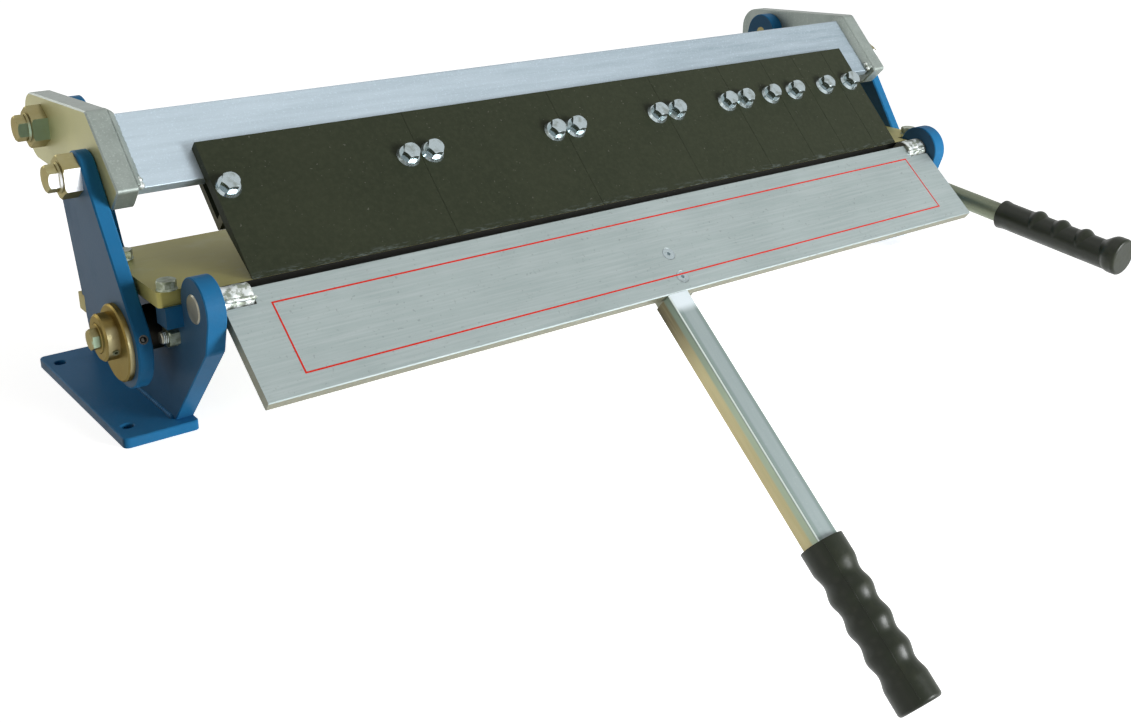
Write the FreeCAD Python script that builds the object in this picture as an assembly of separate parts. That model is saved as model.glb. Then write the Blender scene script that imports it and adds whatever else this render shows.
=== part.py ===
import FreeCAD, Part
import math
import os

# Box and pan brake, bench size, millimetres.
# +X runs along the bend to the lever end, +Y to the back, +Z up.
# Everything is drawn with the bend line above Y = 0 and then moved back to front, so that the
# origin lies on the underside of the feet in the middle of the four bench bolt holes.

V = FreeCAD.Vector
RIGHT = 1
LEFT = -1

# Bed and bend line
bed_height = 158.0
bed_thick = 15.0
bed_depth = 165.0
bed_side_overhang = 4.0
bed_corner = 4.0
ear_notch_depth = 17.0
edge_ease = 1.0

# Fingers, all cut from one section in whole width steps
finger_step = 19.05
finger_steps = (12, 10, 8, 6, 4, 3, 3, 2)
finger_shift = 9.0
finger_gap = 0.4
finger_height = 155.0
finger_thick = 12.0
finger_taper_from = 62.0
finger_corner = 3.0
nose_lift = 0.3
nose_radius = 1.2
one_bolt_width = 60.0

# Finger bolts and the hooked clamp plates behind the fingers
finger_bolt_row = 101.0
finger_bolt_inset = 14.4
finger_bolt_radius = 6.0
finger_bolt_across = 17.0
finger_bolt_head = 9.0
finger_bolt_flange = 13.0
finger_bolt_flange_thick = 3.5
hex_turning = 0.9
clamp_plate_thick = 8.0
clamp_plate_lap = 18.0
clamp_plate_tail = 72.0
clamp_plate_side_gap = 1.5
clamp_hook_width = 9.0

# Clamp beam, an angle bar with its corner on top
beam_leg = 86.0
beam_thick = 12.0
beam_bottom = 121.0
beam_corner = 3.0
beam_root = 8.0

# Stands and feet
finger_end_space = 36.8
stand_thick = 19.0
front_ear_radius = 29.5
front_knee_radius = 12.0
front_knee_back = -33.0
front_knee_drop = 50.0
base_front = 62.0
base_behind_pivot = 8.0
arm_bulge_behind_pivot = 25.0
arm_bulge_rise = 20.0
arm_bulge_radius = 24.0
arm_front_before_pivot = 81.0
arm_root_radius = 14.0
rear_pivot_back = 286.0
rear_pivot_rise = 106.0
rear_ear_radius = 26.0
foot_width = 75.0
foot_thick = 10.0
foot_front = 48.0
foot_behind_base = 10.0
foot_corner = 6.0
foot_hole_radius = 6.0
foot_hole_end_inset = 29.0
foot_hole_side_inset = 14.0

# Bed lugs and bed bolts
lug_length = 24.0
lug_height = 20.0
lug_width = 16.0
front_lug_back = 24.0
rear_lug_inset = 31.0
bed_bolt_radius = 5.0
bed_bolt_across = 17.0
bed_bolt_head = 7.0
bed_bolt_reach = 32.0
bed_washer_radius = 10.0
bed_washer_thick = 2.0

# Front tie rod and rear tie bar between the stands
tie_radius = 6.0
tie_nut_across = 19.0
tie_nut_thick = 10.0
tie_tip = 6.0
front_tie_back = 34.0
front_tie_drop = 50.0
tie_bar_size = 20.0
tie_bar_behind_pivot = 16.0
tie_bar_low = 49.0
tie_bar_bolt_radius = 4.0
tie_bar_bolt_across = 13.0
tie_bar_bolt_head = 5.5
tie_bar_washer_radius = 8.0
tie_bar_bolt_length = 38.0

# End plates of the beam
end_plate_gap = 0.7
end_plate_thick = 22.0
end_plate_proud = 8.0
end_plate_top_rise = 144.0
end_plate_fall = 11.0
end_plate_low_front = 115.0
end_plate_bottom_rise = 57.0
end_plate_behind_pivot = 59.0
end_plate_front_corner = 8.0
end_plate_low_corner = 4.0
end_plate_rear_corner = 28.0
link_pin_before_pivot = 136.0
link_pin_rise = 85.0

# Links and their hex bushes
link_gap = 0.6
link_thick = 15.0
link_eye_radius = 46.0
link_top_radius = 23.0
link_ease = 1.5
bush_across = 38.0
bush_thick = 16.0
bush_spigot_radius = 15.0
pivot_bolt_radius = 8.0
pivot_bolt_across = 24.0
pivot_bolt_head = 10.0
pivot_washer_radius = 15.0
oiler_angle = 162.0
oiler_radius = 4.5
oiler_depth = 9.0
oiler_ball_radius = 3.2

# Clamp shaft, eccentrics and end collar
shaft_back = 82.0
shaft_drop = 55.0
shaft_radius = 15.0
eccentric_throw = 8.0
eccentric_radius = 26.0
disc_radius = 38.0
disc_thick = 6.0
disc_ease = 1.5
spacer_radius = 22.0
collar_radius = 23.0
collar_thick = 13.0
collar_ease = 2.0
lock_screw_radius = 3.0
lock_screw_length = 7.0
lock_screw_proud = 0.8
lock_screw_socket_radius = 1.6
lock_screw_socket_depth = 2.5
lock_screw_inset = 4.5
end_recess = 6.5
end_bolt_radius = 6.0
end_bolt_across = 19.0
end_bolt_head = 6.5
end_bolt_washer = 13.5
end_bolt_length = 24.0
lock_screw_angle = 205.0

# Clamp lever
lever_slope = 6.0
lever_drop = 18.0
lever_hub_thick = 28.0
lever_hub_reach = 40.0
lever_hub_nose = 17.0
lever_tube_radius = 12.7
lever_tube_wall = 2.6
lever_grip_from = 190.0

# Hand grips, the same length on the lever and on the leaf's handle
grip_length = 180.0
grip_wall_end = 6.0
grip_end_round = 4.0
grip_stations = 45

# Lever grip: a round sleeve with a bead at its mouth, finger scallops on top and a flared end
lever_grip_radius = 18.0
lever_bead_height = 1.2
lever_bead_run = 10.0
scallop_axis_rise = 4.6
scallop_low = 12.9
scallop_depth = 5.1
scallop_pitch = 34.5
scallop_first_ridge = 54.0
scallop_ridges = 3
flare_from = 146.0
flare_run = 22.0
flare_height = 5.6

# Handle grip: a sleeve over the square tube with waves all round
handle_grip_radius = 22.6
handle_grip_wave = 1.6
handle_grip_pitch = 33.0
handle_grip_first_valley = 39.0
handle_grip_valleys = 4

# Folding leaf, drawn level and then swung down to rest
hinge_forward = 15.2
hinge_below = 10.4
leaf_side_gap = 3.0
leaf_width = 119.0
leaf_thick = 12.0
leaf_behind_hinge = 4.4
leaf_droop = 39.4
leaf_notch_length = 31.0
leaf_ease = 1.0
pin_radius = 14.0
pin_dome = 1.2
pin_weld_gap = 0.2

# Leaf handle
handle_centre = -14.5
handle_size = 29.4
handle_wall = 2.6
handle_corner = 3.0
handle_bore_corner = 1.0
handle_grip_from = 303.0
root_width = 42.0
root_right = 14.0
root_under = 64.0
root_drop = 13.6
spigot_size = 23.6
spigot_length = 70.0
handle_screw_right = 3.5
handle_screw_rows = (71.0, 102.0)
handle_screw_radius = 4.0
handle_screw_head_radius = 7.5
handle_screw_head_depth = 3.0
handle_screw_length = 22.0

# Fits
running_gap = 0.05
thread_gap = 0.05
bolt_gap = 0.5
face_gap = 0.3
link_bore_gap = 2.1

# Places worked out from the sizes above
hinge_y = -hinge_forward
hinge_z = bed_height - hinge_below
pivot_z = bed_height + rear_pivot_rise
finger_total = finger_step * sum(finger_steps)
finger_left = finger_shift - finger_total / 2
stand_half_gap = finger_total / 2 + finger_end_space
stand_outer = stand_half_gap + stand_thick
leaf_half_length = stand_half_gap - leaf_side_gap
bed_half_length = stand_outer + lug_width + bed_side_overhang
base_rear = rear_pivot_back + base_behind_pivot
foot_length = base_rear + foot_behind_base - foot_front
tie_bar_back = rear_pivot_back + tie_bar_behind_pivot
front_tie_height = bed_height - front_tie_drop
shaft_height = bed_height - shaft_drop
link_pin_back = rear_pivot_back - link_pin_before_pivot
link_pin_height = bed_height + link_pin_rise
end_plate_top = bed_height + end_plate_top_rise
end_plate_bottom = bed_height + end_plate_bottom_rise
end_plate_rear = rear_pivot_back + end_plate_behind_pivot
end_plate_inner = stand_outer + end_plate_gap
end_plate_outer = end_plate_inner + end_plate_thick
link_inner = end_plate_outer + link_gap
link_outer = link_inner + link_thick
disc_inner = link_outer + face_gap
disc_outer = disc_inner + disc_thick
eccentric_lean = math.atan2(link_pin_height - shaft_height, link_pin_back - shaft_back)
eccentric_y = shaft_back - eccentric_throw * math.cos(eccentric_lean)
eccentric_z = shaft_height - eccentric_throw * math.sin(eccentric_lean)
clamp_plate_front = -finger_thick - beam_thick - face_gap
beam_top = beam_bottom + beam_leg


def tangent_heading(first, second):
    """Heading of the line that runs along the right-hand side of two circles in the YZ plane."""
    dy = second[0] - first[0]
    dz = second[1] - first[1]
    return math.atan2(dz, dy) - math.asin((second[2] - first[2]) / math.hypot(dy, dz))


def rim_point(circle, heading):
    """Point where a line of this heading touches the circle."""
    y, z, radius = circle
    return V(0, y + radius * math.sin(heading), z - radius * math.cos(heading))


def belt(circles):
    """Closed wire of tangents and arcs round (y, z, radius) circles taken anticlockwise.

    A radius of zero is a sharp corner and a negative one rounds an inner corner."""
    following = circles[1:] + circles[:1]
    headings = [tangent_heading(circle, after) for circle, after in zip(circles, following)]
    edges = []
    for i, circle in enumerate(circles):
        turn = (headings[i] - headings[i - 1]) % math.tau
        if circle[2] < 0:
            turn -= math.tau
        start = rim_point(circle, headings[i - 1])
        end = rim_point(circle, headings[i])
        if circle[2] != 0:
            edges.append(Part.Arc(start, rim_point(circle, headings[i - 1] + turn / 2), end).toShape())
        edges.append(Part.makeLine(end, rim_point(following[i], headings[i])))
    return Part.Wire(edges)


def corner_circles(corners):
    """Fillet circles of a polygon given anticlockwise as (y, z, radius) corners."""
    circles = []
    for i, (y, z, radius) in enumerate(corners):
        before = corners[i - 1]
        after = corners[(i + 1) % len(corners)]
        back = V(0, before[0] - y, before[1] - z).normalize()
        ahead = V(0, after[0] - y, after[1] - z).normalize()
        if radius == 0:
            circles.append((y, z, 0))
            continue
        half_sine = math.sqrt((1 - back.dot(ahead)) / 2)
        centre = V(0, y, z) + (back + ahead).normalize() * (radius / half_sine)
        outward = ahead.cross(back).x > 0
        circles.append((centre.y, centre.z, radius if outward else -radius))
    return circles


def slab(wire, x_low, x_high):
    """Solid from a YZ outline between two X planes."""
    face = Part.Face(wire)
    face.translate(V(x_low, 0, 0))
    return face.extrude(V(x_high - x_low, 0, 0))


def rounded_slab(corners, x_low, x_high):
    return slab(belt(corner_circles(corners)), x_low, x_high)


def block(x_low, x_high, y_low, y_high, z_low, z_high):
    return Part.makeBox(x_high - x_low, y_high - y_low, z_high - z_low, V(x_low, y_low, z_low))


def rod(radius, x_low, x_high, y, z):
    """Round bar along X."""
    return Part.makeCylinder(radius, x_high - x_low, V(x_low, y, z), V(1, 0, 0))


def aim(shape, base, direction):
    """Moves a shape drawn along +Z at the origin to a base point and direction."""
    placed = shape.copy()
    placed.Placement = FreeCAD.Placement(base, FreeCAD.Rotation(V(0, 0, 1), direction))
    return placed


def eased_edges(shape, size, chosen):
    return shape.makeChamfer(size, [edge for edge in shape.Edges if chosen(edge)])


def end_rims(shape, axis):
    """Test for the edges that lie in the two end planes of a shape along an axis."""
    box = shape.BoundBox
    low = (box.XMin, box.YMin, box.ZMin)[axis]
    high = (box.XMax, box.YMax, box.ZMax)[axis]

    def lies_in_end(edge):
        span = edge.BoundBox
        near = (span.XMin, span.YMin, span.ZMin)[axis]
        far = (span.XMax, span.YMax, span.ZMax)[axis]
        return far - near < thread_gap and (abs(near - low) < thread_gap or abs(near - high) < thread_gap)

    return lies_in_end


def hexagon(across, height, ease):
    """Hex prism along +Z with its top corners turned off."""
    corner = across / math.sqrt(3)
    points = [V(corner * math.cos(k * math.pi / 3), corner * math.sin(k * math.pi / 3), 0) for k in range(7)]
    prism = Part.Face(Part.makePolygon(points)).extrude(V(0, 0, height))
    blank = Part.makeCylinder(corner, height)
    return prism.common(blank.makeChamfer(ease, [blank.Edges[0]]))


def bolt(radius, length, across, head, washer_radius, washer_thick):
    """Hex bolt along +Z: washer face at zero, head above, shank below."""
    ease = (across / math.sqrt(3) - across / 2) * hex_turning
    washer = Part.makeCone(washer_radius, washer_radius - washer_thick / 2, washer_thick)
    top = hexagon(across, head, ease)
    top.translate(V(0, 0, washer_thick))
    shank = Part.makeCylinder(radius, length, V(0, 0, -length))
    return washer.fuse([top, shank]).removeSplitter()


def mirrored(shape):
    return shape.mirror(V(0, 0, 0), V(1, 0, 0))


def sided(shape, side):
    """Shape drawn for the right-hand end, or its mirror image for the left."""
    return shape if side == RIGHT else mirrored(shape)


def slope_point(along, out):
    """Y and Z of a point up the finger slope from the nose and out from the fingers' front plane."""
    y = (along - out) / math.sqrt(2)
    z = bed_height + nose_lift + (along + out) / math.sqrt(2)
    return y, z


def slope_corner(along, out, radius):
    y, z = slope_point(along, out)
    return y, z, radius


def foot_plate(side):
    """Welded foot with two bench bolt holes."""
    outer = stand_half_gap + foot_width
    plate = block(stand_half_gap, outer, foot_front, foot_front + foot_length, 0, foot_thick)
    upright = [edge for edge in plate.Edges if edge.BoundBox.ZLength > foot_thick / 2]
    plate = plate.makeFillet(foot_corner, upright)
    for y in foot_hole_rows():
        hole = Part.makeCylinder(foot_hole_radius, foot_thick, V(outer - foot_hole_side_inset, y, 0))
        plate = plate.cut(hole)
    plate = eased_edges(plate, edge_ease, top_edges(plate))
    return sided(plate, side)


def foot_hole_rows():
    return foot_front + foot_hole_end_inset, foot_front + foot_length - foot_hole_end_inset


def top_edges(shape):
    top = shape.BoundBox.ZMax
    return lambda edge: edge.BoundBox.ZMin > top - thread_gap


def stand_outline():
    """Side plate outline: front hinge ear, saddle for the bed, arm to the rear ear."""
    bed_under = bed_height - bed_thick
    ear_front = hinge_y - front_ear_radius
    ear_back = hinge_y + front_ear_radius
    bulge_back = rear_pivot_back + arm_bulge_behind_pivot
    circles = corner_circles([
        (base_rear, foot_thick, 0),
        (bulge_back, bed_height + arm_bulge_rise, 0),
        (rear_pivot_back, pivot_z, 0),
        (rear_pivot_back - arm_front_before_pivot, bed_under, arm_root_radius),
        (ear_back, bed_under, 0),
        (ear_front, hinge_z, 0),
        (front_knee_back, bed_height - front_knee_drop, front_knee_radius),
        (base_front, foot_thick, 0),
    ])
    circles[1] = (bulge_back, bed_height + arm_bulge_rise, arm_bulge_radius)
    circles[2] = (rear_pivot_back, pivot_z, rear_ear_radius)
    circles[5] = (hinge_y, hinge_z, front_ear_radius)
    return belt(circles)


def side_plate(side):
    """Upright that carries the leaf hinge, the clamp shaft and the rear pivot."""
    plate = slab(stand_outline(), stand_half_gap, stand_outer)
    plate = eased_edges(plate, edge_ease, end_rims(plate, 0))
    bores = (
        (pin_radius + running_gap, hinge_y, hinge_z),
        (shaft_radius + running_gap, shaft_back, shaft_height),
        (pivot_bolt_radius + thread_gap, rear_pivot_back, pivot_z),
        (tie_radius + thread_gap, front_tie_back, front_tie_height),
    )
    for radius, y, z in bores:
        plate = plate.cut(rod(radius, stand_half_gap, stand_outer, y, z))
    plate = plate.cut(tie_bar_blank(face_gap))
    plate = plate.cut(tie_bar_bolt_stock(RIGHT, thread_gap))
    return sided(plate, side)


def lug_rows():
    return front_lug_back, bed_depth - rear_lug_inset


def bed_bolt_x():
    return stand_outer + lug_width / 2


def bed_lugs(side):
    """Two blocks welded to the stand under the bed's overhang."""
    top = bed_height - bed_thick
    lugs = []
    for y in lug_rows():
        front = y - lug_length / 2
        low = top - lug_height
        lug = block(stand_outer, stand_outer + lug_width, front, front + lug_length, low, top)
        bore = Part.makeCylinder(bed_bolt_radius + thread_gap, lug_height, V(bed_bolt_x(), y, low))
        lugs.append(sided(lug.cut(bore), side))
    return Part.makeCompound(lugs)


def bed_plate():
    """Bed with its front corners notched round the hinge ears."""
    low = bed_height - bed_thick
    plate = block(-bed_half_length, bed_half_length, 0, bed_depth, low, bed_height)
    notch = block(leaf_half_length, bed_half_length, 0, ear_notch_depth, low, bed_height)
    plate = plate.cut(notch).cut(mirrored(notch))
    upright = [edge for edge in plate.Edges if edge.BoundBox.ZLength > bed_thick / 2]
    outer = [edge for edge in upright if abs(edge.BoundBox.XMin) > leaf_half_length + edge_ease]
    plate = plate.makeFillet(bed_corner, outer)
    for y in lug_rows():
        bore = Part.makeCylinder(bed_bolt_radius + bolt_gap, bed_thick, V(bed_bolt_x(), y, low))
        plate = plate.cut(bore).cut(mirrored(bore))
    return plate


def bed_bolts():
    blank = bolt(
        bed_bolt_radius, bed_bolt_reach, bed_bolt_across, bed_bolt_head,
        bed_washer_radius, bed_washer_thick)
    places = [V(side * bed_bolt_x(), y, bed_height) for side in (LEFT, RIGHT) for y in lug_rows()]
    return Part.makeCompound([aim(blank, place, V(0, 0, 1)) for place in places])


def front_tie_rod():
    reach = stand_outer + tie_nut_thick + tie_tip
    bar = rod(tie_radius, -reach, reach, front_tie_back, front_tie_height)
    return eased_edges(bar, edge_ease, end_rims(bar, 0))


def tie_nuts():
    nuts = []
    for side in (LEFT, RIGHT):
        nut = hexagon(tie_nut_across, tie_nut_thick, edge_ease)
        nut = nut.cut(Part.makeCylinder(tie_radius + thread_gap, tie_nut_thick))
        nuts.append(aim(nut, V(side * stand_outer, front_tie_back, front_tie_height), V(side, 0, 0)))
    return Part.makeCompound(nuts)


def tie_bar_blank(gap):
    """Square bar let into the rear edges of both stands, grown by a gap for its notches."""
    top = tie_bar_low + tie_bar_size
    back = tie_bar_back + tie_bar_size
    return block(-stand_outer, stand_outer, tie_bar_back - gap, back, tie_bar_low - gap, top + gap)


def tie_bar_bolt_stock(side, gap):
    """Shank of a tie bar bolt, from the bar's rear face into the stand."""
    middle = tie_bar_low + tie_bar_size / 2
    seat = V(side * (stand_half_gap + stand_thick / 2), tie_bar_back + tie_bar_size, middle)
    return Part.makeCylinder(tie_bar_bolt_radius + gap, tie_bar_bolt_length, seat, V(0, -1, 0))


def rear_tie_bar():
    bar = tie_bar_blank(0)
    bar = eased_edges(bar, edge_ease, lambda edge: edge.BoundBox.XLength > stand_outer)
    return bar.cut(tie_bar_bolt_stock(RIGHT, bolt_gap)).cut(tie_bar_bolt_stock(LEFT, bolt_gap))


def rear_bar_bolts():
    blank = bolt(
        tie_bar_bolt_radius, tie_bar_bolt_length, tie_bar_bolt_across, tie_bar_bolt_head,
        tie_bar_washer_radius, edge_ease)
    back = tie_bar_back + tie_bar_size
    middle = tie_bar_low + tie_bar_size / 2
    right = aim(blank, V(stand_half_gap + stand_thick / 2, back, middle), V(0, 1, 0))
    return Part.makeCompound([mirrored(right), right])


def finger_spans():
    """Left and right X of each finger."""
    spans = []
    left = finger_left
    for steps in finger_steps:
        right = left + steps * finger_step
        spans.append((left + finger_gap / 2, right - finger_gap / 2))
        left = right
    return spans


def bolt_places(span):
    """X of the bolts in one finger: two near its sides, or one in the middle of a narrow one."""
    left, right = span
    if right - left < one_bolt_width:
        return [(left + right) / 2]
    return [left + finger_bolt_inset, right - finger_bolt_inset]


def slope_bore(radius, x, out_low, out_high):
    """Round bar through the finger slope on the bolt row."""
    y, z = slope_point(finger_bolt_row, out_low)
    out = V(0, -1, 1)
    return Part.makeCylinder(radius, out_high - out_low, V(x, y, z), out)


def finger(span):
    """Wedge-nosed finger that lies on the beam's front leg."""
    left, right = span
    corners = [
        slope_corner(nose_radius, -nose_radius, 0),
        slope_corner(finger_taper_from, -finger_thick, finger_corner),
        slope_corner(finger_height, -finger_thick, 0),
        slope_corner(finger_height, 0, edge_ease),
        slope_corner(0, 0, 0),
    ]
    solid = rounded_slab(corners, left, right)
    for x in bolt_places(span):
        solid = solid.cut(slope_bore(finger_bolt_radius + bolt_gap, x, -finger_thick, 0))
    return solid


def finger_clamp(span):
    """Plate behind a finger: its top laps the beam's leg and its tail hooks forward to the finger."""
    left, right = span
    back = clamp_plate_front - clamp_plate_thick
    corners = [
        slope_corner(clamp_plate_tail, -finger_thick - face_gap, edge_ease),
        slope_corner(clamp_plate_tail, back, finger_corner),
        slope_corner(beam_bottom + clamp_plate_lap, back, edge_ease),
        slope_corner(beam_bottom + clamp_plate_lap, clamp_plate_front, edge_ease),
        slope_corner(clamp_plate_tail + clamp_hook_width, clamp_plate_front, edge_ease),
        slope_corner(clamp_plate_tail + clamp_hook_width, -finger_thick - face_gap, edge_ease),
    ]
    solid = rounded_slab(corners, left + clamp_plate_side_gap, right - clamp_plate_side_gap)
    for x in bolt_places(span):
        solid = solid.cut(slope_bore(finger_bolt_radius + thread_gap, x, back, clamp_plate_front))
    return solid


def finger_bolts():
    reach = finger_thick + beam_thick + face_gap + clamp_plate_thick
    blank = bolt(
        finger_bolt_radius, reach, finger_bolt_across, finger_bolt_head,
        finger_bolt_flange, finger_bolt_flange_thick)
    y, z = slope_point(finger_bolt_row, 0)
    places = [V(x, y, z) for span in finger_spans() for x in bolt_places(span)]
    return Part.makeCompound([aim(blank, place, V(0, -1, 1)) for place in places])


def clamp_beam():
    """Angle bar, corner up, welded between the end plates."""
    front = -finger_thick
    root = front - beam_thick
    corners = [
        slope_corner(beam_bottom, front, edge_ease),
        slope_corner(beam_bottom, root, edge_ease),
        slope_corner(beam_top - beam_thick, root, beam_root),
        slope_corner(beam_top - beam_thick, front - beam_leg, edge_ease),
        slope_corner(beam_top, front - beam_leg, edge_ease),
        slope_corner(beam_top, front, beam_corner),
    ]
    return rounded_slab(corners, -end_plate_inner, end_plate_inner)


def end_plate(side):
    """Side arm of the beam from the rear pivot to the front of the fingers."""
    face = end_plate_proud - finger_thick
    low_y, low_z = slope_point(end_plate_low_front, face)
    top_y = low_y + end_plate_top - low_z
    cut_y = low_y + low_z - end_plate_bottom
    corners = [
        (low_y, low_z, end_plate_low_corner),
        (cut_y, end_plate_bottom, end_plate_front_corner),
        (end_plate_rear, end_plate_bottom + end_plate_front_corner, end_plate_rear_corner),
        (end_plate_rear, end_plate_top - end_plate_fall, end_plate_rear_corner),
        (top_y, end_plate_top, end_plate_front_corner),
    ]
    plate = rounded_slab(corners, end_plate_inner, end_plate_outer)
    plate = eased_edges(plate, link_ease, end_rims(plate, 0))
    bores = (
        (bush_spigot_radius + thread_gap, rear_pivot_back, pivot_z),
        (pivot_bolt_radius + thread_gap, link_pin_back, link_pin_height),
    )
    for radius, y, z in bores:
        plate = plate.cut(rod(radius, end_plate_inner, end_plate_outer, y, z))
    return sided(plate, side)


def hex_bush(seat_x, spigot, y, z, side):
    """Hex-headed bush: head outside the plate, round spigot through it, bored for the bolt."""
    head = hexagon(bush_across, bush_thick, link_ease)
    stem = Part.makeCylinder(bush_spigot_radius, spigot, V(0, 0, -spigot))
    bore = Part.makeCylinder(pivot_bolt_radius + running_gap, bush_thick + spigot, V(0, 0, -spigot))
    bush = head.fuse(stem).cut(bore)
    return sided(aim(bush, V(seat_x, y, z), V(1, 0, 0)), side)


def rear_pivot_bush(side):
    return hex_bush(end_plate_outer, end_plate_thick, rear_pivot_back, pivot_z, side)


def link_top_bush(side):
    return hex_bush(link_outer, link_thick, link_pin_back, link_pin_height, side)


def bolt_pair(seat_x, end_x, y, z):
    """The same bolt on both sides, head outside the bush and end in the plate behind."""
    blank = bolt(
        pivot_bolt_radius, seat_x - end_x, pivot_bolt_across, pivot_bolt_head,
        pivot_washer_radius, bed_washer_thick)
    right = aim(blank, V(seat_x, y, z), V(1, 0, 0))
    return Part.makeCompound([mirrored(right), right])


def rear_pivot_bolts():
    return bolt_pair(end_plate_outer + bush_thick + face_gap, stand_half_gap, rear_pivot_back, pivot_z)


def link_top_bolts():
    return bolt_pair(link_outer + bush_thick + face_gap, end_plate_inner, link_pin_back, link_pin_height)


def oiler_seat(depth):
    """Point on the link's front edge where the ball oiler sits, and the way in."""
    angle = math.radians(oiler_angle)
    out = V(0, math.cos(angle), math.sin(angle))
    centre = V((link_inner + link_outer) / 2, eccentric_y, eccentric_z)
    return centre + out * (link_eye_radius - depth), out


def link(side):
    """Flat link with a large eye on the eccentric and a small one on the end plate's pin."""
    outline = belt([
        (eccentric_y, eccentric_z, link_eye_radius),
        (link_pin_back, link_pin_height, link_top_radius),
    ])
    plate = slab(outline, link_inner, link_outer)
    plate = eased_edges(plate, link_ease, end_rims(plate, 0))
    bores = (
        (eccentric_radius + link_bore_gap, eccentric_y, eccentric_z),
        (bush_spigot_radius + thread_gap, link_pin_back, link_pin_height),
    )
    for radius, y, z in bores:
        plate = plate.cut(rod(radius, link_inner, link_outer, y, z))
    seat, out = oiler_seat(oiler_depth)
    plate = plate.cut(Part.makeCylinder(oiler_radius + thread_gap, oiler_depth, seat, out))
    return sided(plate, side)


def ball_oiler(side):
    """Pressed-in cup with a ball in its mouth."""
    seat, out = oiler_seat(oiler_depth)
    cup = Part.makeCylinder(oiler_radius, oiler_depth - edge_ease, seat, out)
    mouth, out = oiler_seat(edge_ease + oiler_ball_radius / 2)
    dish = Part.makeCylinder(oiler_ball_radius, oiler_depth, mouth, out)
    ball = Part.makeSphere(oiler_ball_radius - face_gap, mouth, out)
    return sided(cup.cut(dish).fuse(ball), side)


def clamp_shaft():
    """Round shaft through both stands; its ends carry the eccentrics."""
    shaft = rod(shaft_radius, -shaft_end(LEFT), shaft_end(RIGHT), shaft_back, shaft_height)
    for side in (LEFT, RIGHT):
        mouth = V(side * shaft_end(side), shaft_back, shaft_height)
        bore = Part.makeCylinder(end_bolt_radius + thread_gap, end_bolt_length, mouth, V(-side, 0, 0))
        shaft = shaft.cut(bore)
    return shaft


def eccentric(side):
    """Spacer against the stand, round eccentric in the link's eye and the disc that covers it."""
    spacer = rod(spacer_radius, stand_outer + face_gap, link_inner - face_gap, shaft_back, shaft_height)
    cam = rod(eccentric_radius, link_inner - face_gap, disc_inner, eccentric_y, eccentric_z)
    disc = rod(disc_radius, disc_inner, disc_outer, eccentric_y, eccentric_z)
    disc = eased_edges(disc, disc_ease, lambda edge: edge.BoundBox.XMin > disc_outer - thread_gap)
    whole = spacer.fuse([cam, disc])
    whole = whole.cut(rod(shaft_radius + thread_gap, stand_outer, disc_outer, shaft_back, shaft_height))
    return sided(whole, side)


def shaft_bored(hub, end):
    return hub.cut(rod(shaft_radius + thread_gap, disc_outer, end, shaft_back, shaft_height))


def shaft_end(side):
    """How far the shaft reaches to each side: a little short of the outer face of what it carries."""
    return disc_outer + (lever_hub_thick if side == RIGHT else collar_thick) - end_recess


def lock_screw_line(radius):
    """Point on a hub of this radius where its lock screw enters, and the way out."""
    angle = math.radians(lock_screw_angle)
    out = V(0, math.cos(angle), math.sin(angle))
    return V(disc_outer + lock_screw_inset, shaft_back, shaft_height) + out * radius, out


def shaft_collar():
    """Plain collar on the shaft's left end."""
    end = disc_outer + collar_thick
    collar = rod(collar_radius, disc_outer, end, shaft_back, shaft_height)
    collar = eased_edges(collar, collar_ease, lambda edge: edge.BoundBox.XMin > disc_outer + collar_ease)
    collar = shaft_bored(collar, end)
    mouth, out = lock_screw_line(collar_radius - lock_screw_length)
    collar = collar.cut(Part.makeCylinder(lock_screw_radius + thread_gap, lock_screw_length, mouth, out))
    return mirrored(collar)


def lock_screw():
    """Socket screw in the side of the left collar."""
    seat, out = lock_screw_line(collar_radius - lock_screw_length)
    screw = Part.makeCylinder(lock_screw_radius, lock_screw_length + lock_screw_proud, seat, out)
    mouth, out = lock_screw_line(collar_radius + lock_screw_proud - lock_screw_socket_depth)
    screw = screw.cut(Part.makeCylinder(lock_screw_socket_radius, lock_screw_socket_depth, mouth, out))
    return mirrored(screw)


def shaft_end_bolts():
    """Bolts in the shaft's ends, their heads sunk in the collar and in the lever hub."""
    blank = bolt(
        end_bolt_radius, end_bolt_length, end_bolt_across, end_bolt_head,
        end_bolt_washer, edge_ease)
    seats = [(side, V(side * shaft_end(side), shaft_back, shaft_height)) for side in (LEFT, RIGHT)]
    return Part.makeCompound([aim(blank, seat, V(side, 0, 0)) for side, seat in seats])


def lever_frame():
    """Start point on the lever's axis below the shaft, its forward direction and its upward normal."""
    angle = math.radians(lever_slope)
    ahead = V(0, -math.cos(angle), -math.sin(angle))
    up = V(0, -math.sin(angle), math.cos(angle))
    centre = V(disc_outer + lever_hub_thick / 2, shaft_back, shaft_height)
    return centre - up * lever_drop, ahead, up


def lever_hub():
    """Boss on the shaft's right end with a flat nose for the lever tube."""
    start, ahead, up = lever_frame()
    nose_top = start + ahead * lever_hub_reach + up * lever_hub_nose
    nose_low = start + ahead * lever_hub_reach - up * lever_hub_nose
    heel = start - up * lever_hub_nose
    outline = belt([
        (shaft_back, shaft_height, collar_radius + collar_ease),
        (nose_top.y, nose_top.z, 0),
        (nose_low.y, nose_low.z, 0),
        (heel.y, heel.z, 0),
    ])
    hub = slab(outline, disc_outer, disc_outer + lever_hub_thick)
    hub = eased_edges(hub, edge_ease, end_rims(hub, 0))
    return shaft_bored(hub, disc_outer + lever_hub_thick)


def lever_tube():
    start, ahead, up = lever_frame()
    length = lever_grip_from + grip_length - grip_wall_end - face_gap - lever_hub_reach
    tube = Part.makeCylinder(lever_tube_radius, length)
    tube = tube.cut(Part.makeCylinder(lever_tube_radius - lever_tube_wall, length))
    return aim(tube, start + ahead * lever_hub_reach, ahead)


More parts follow.
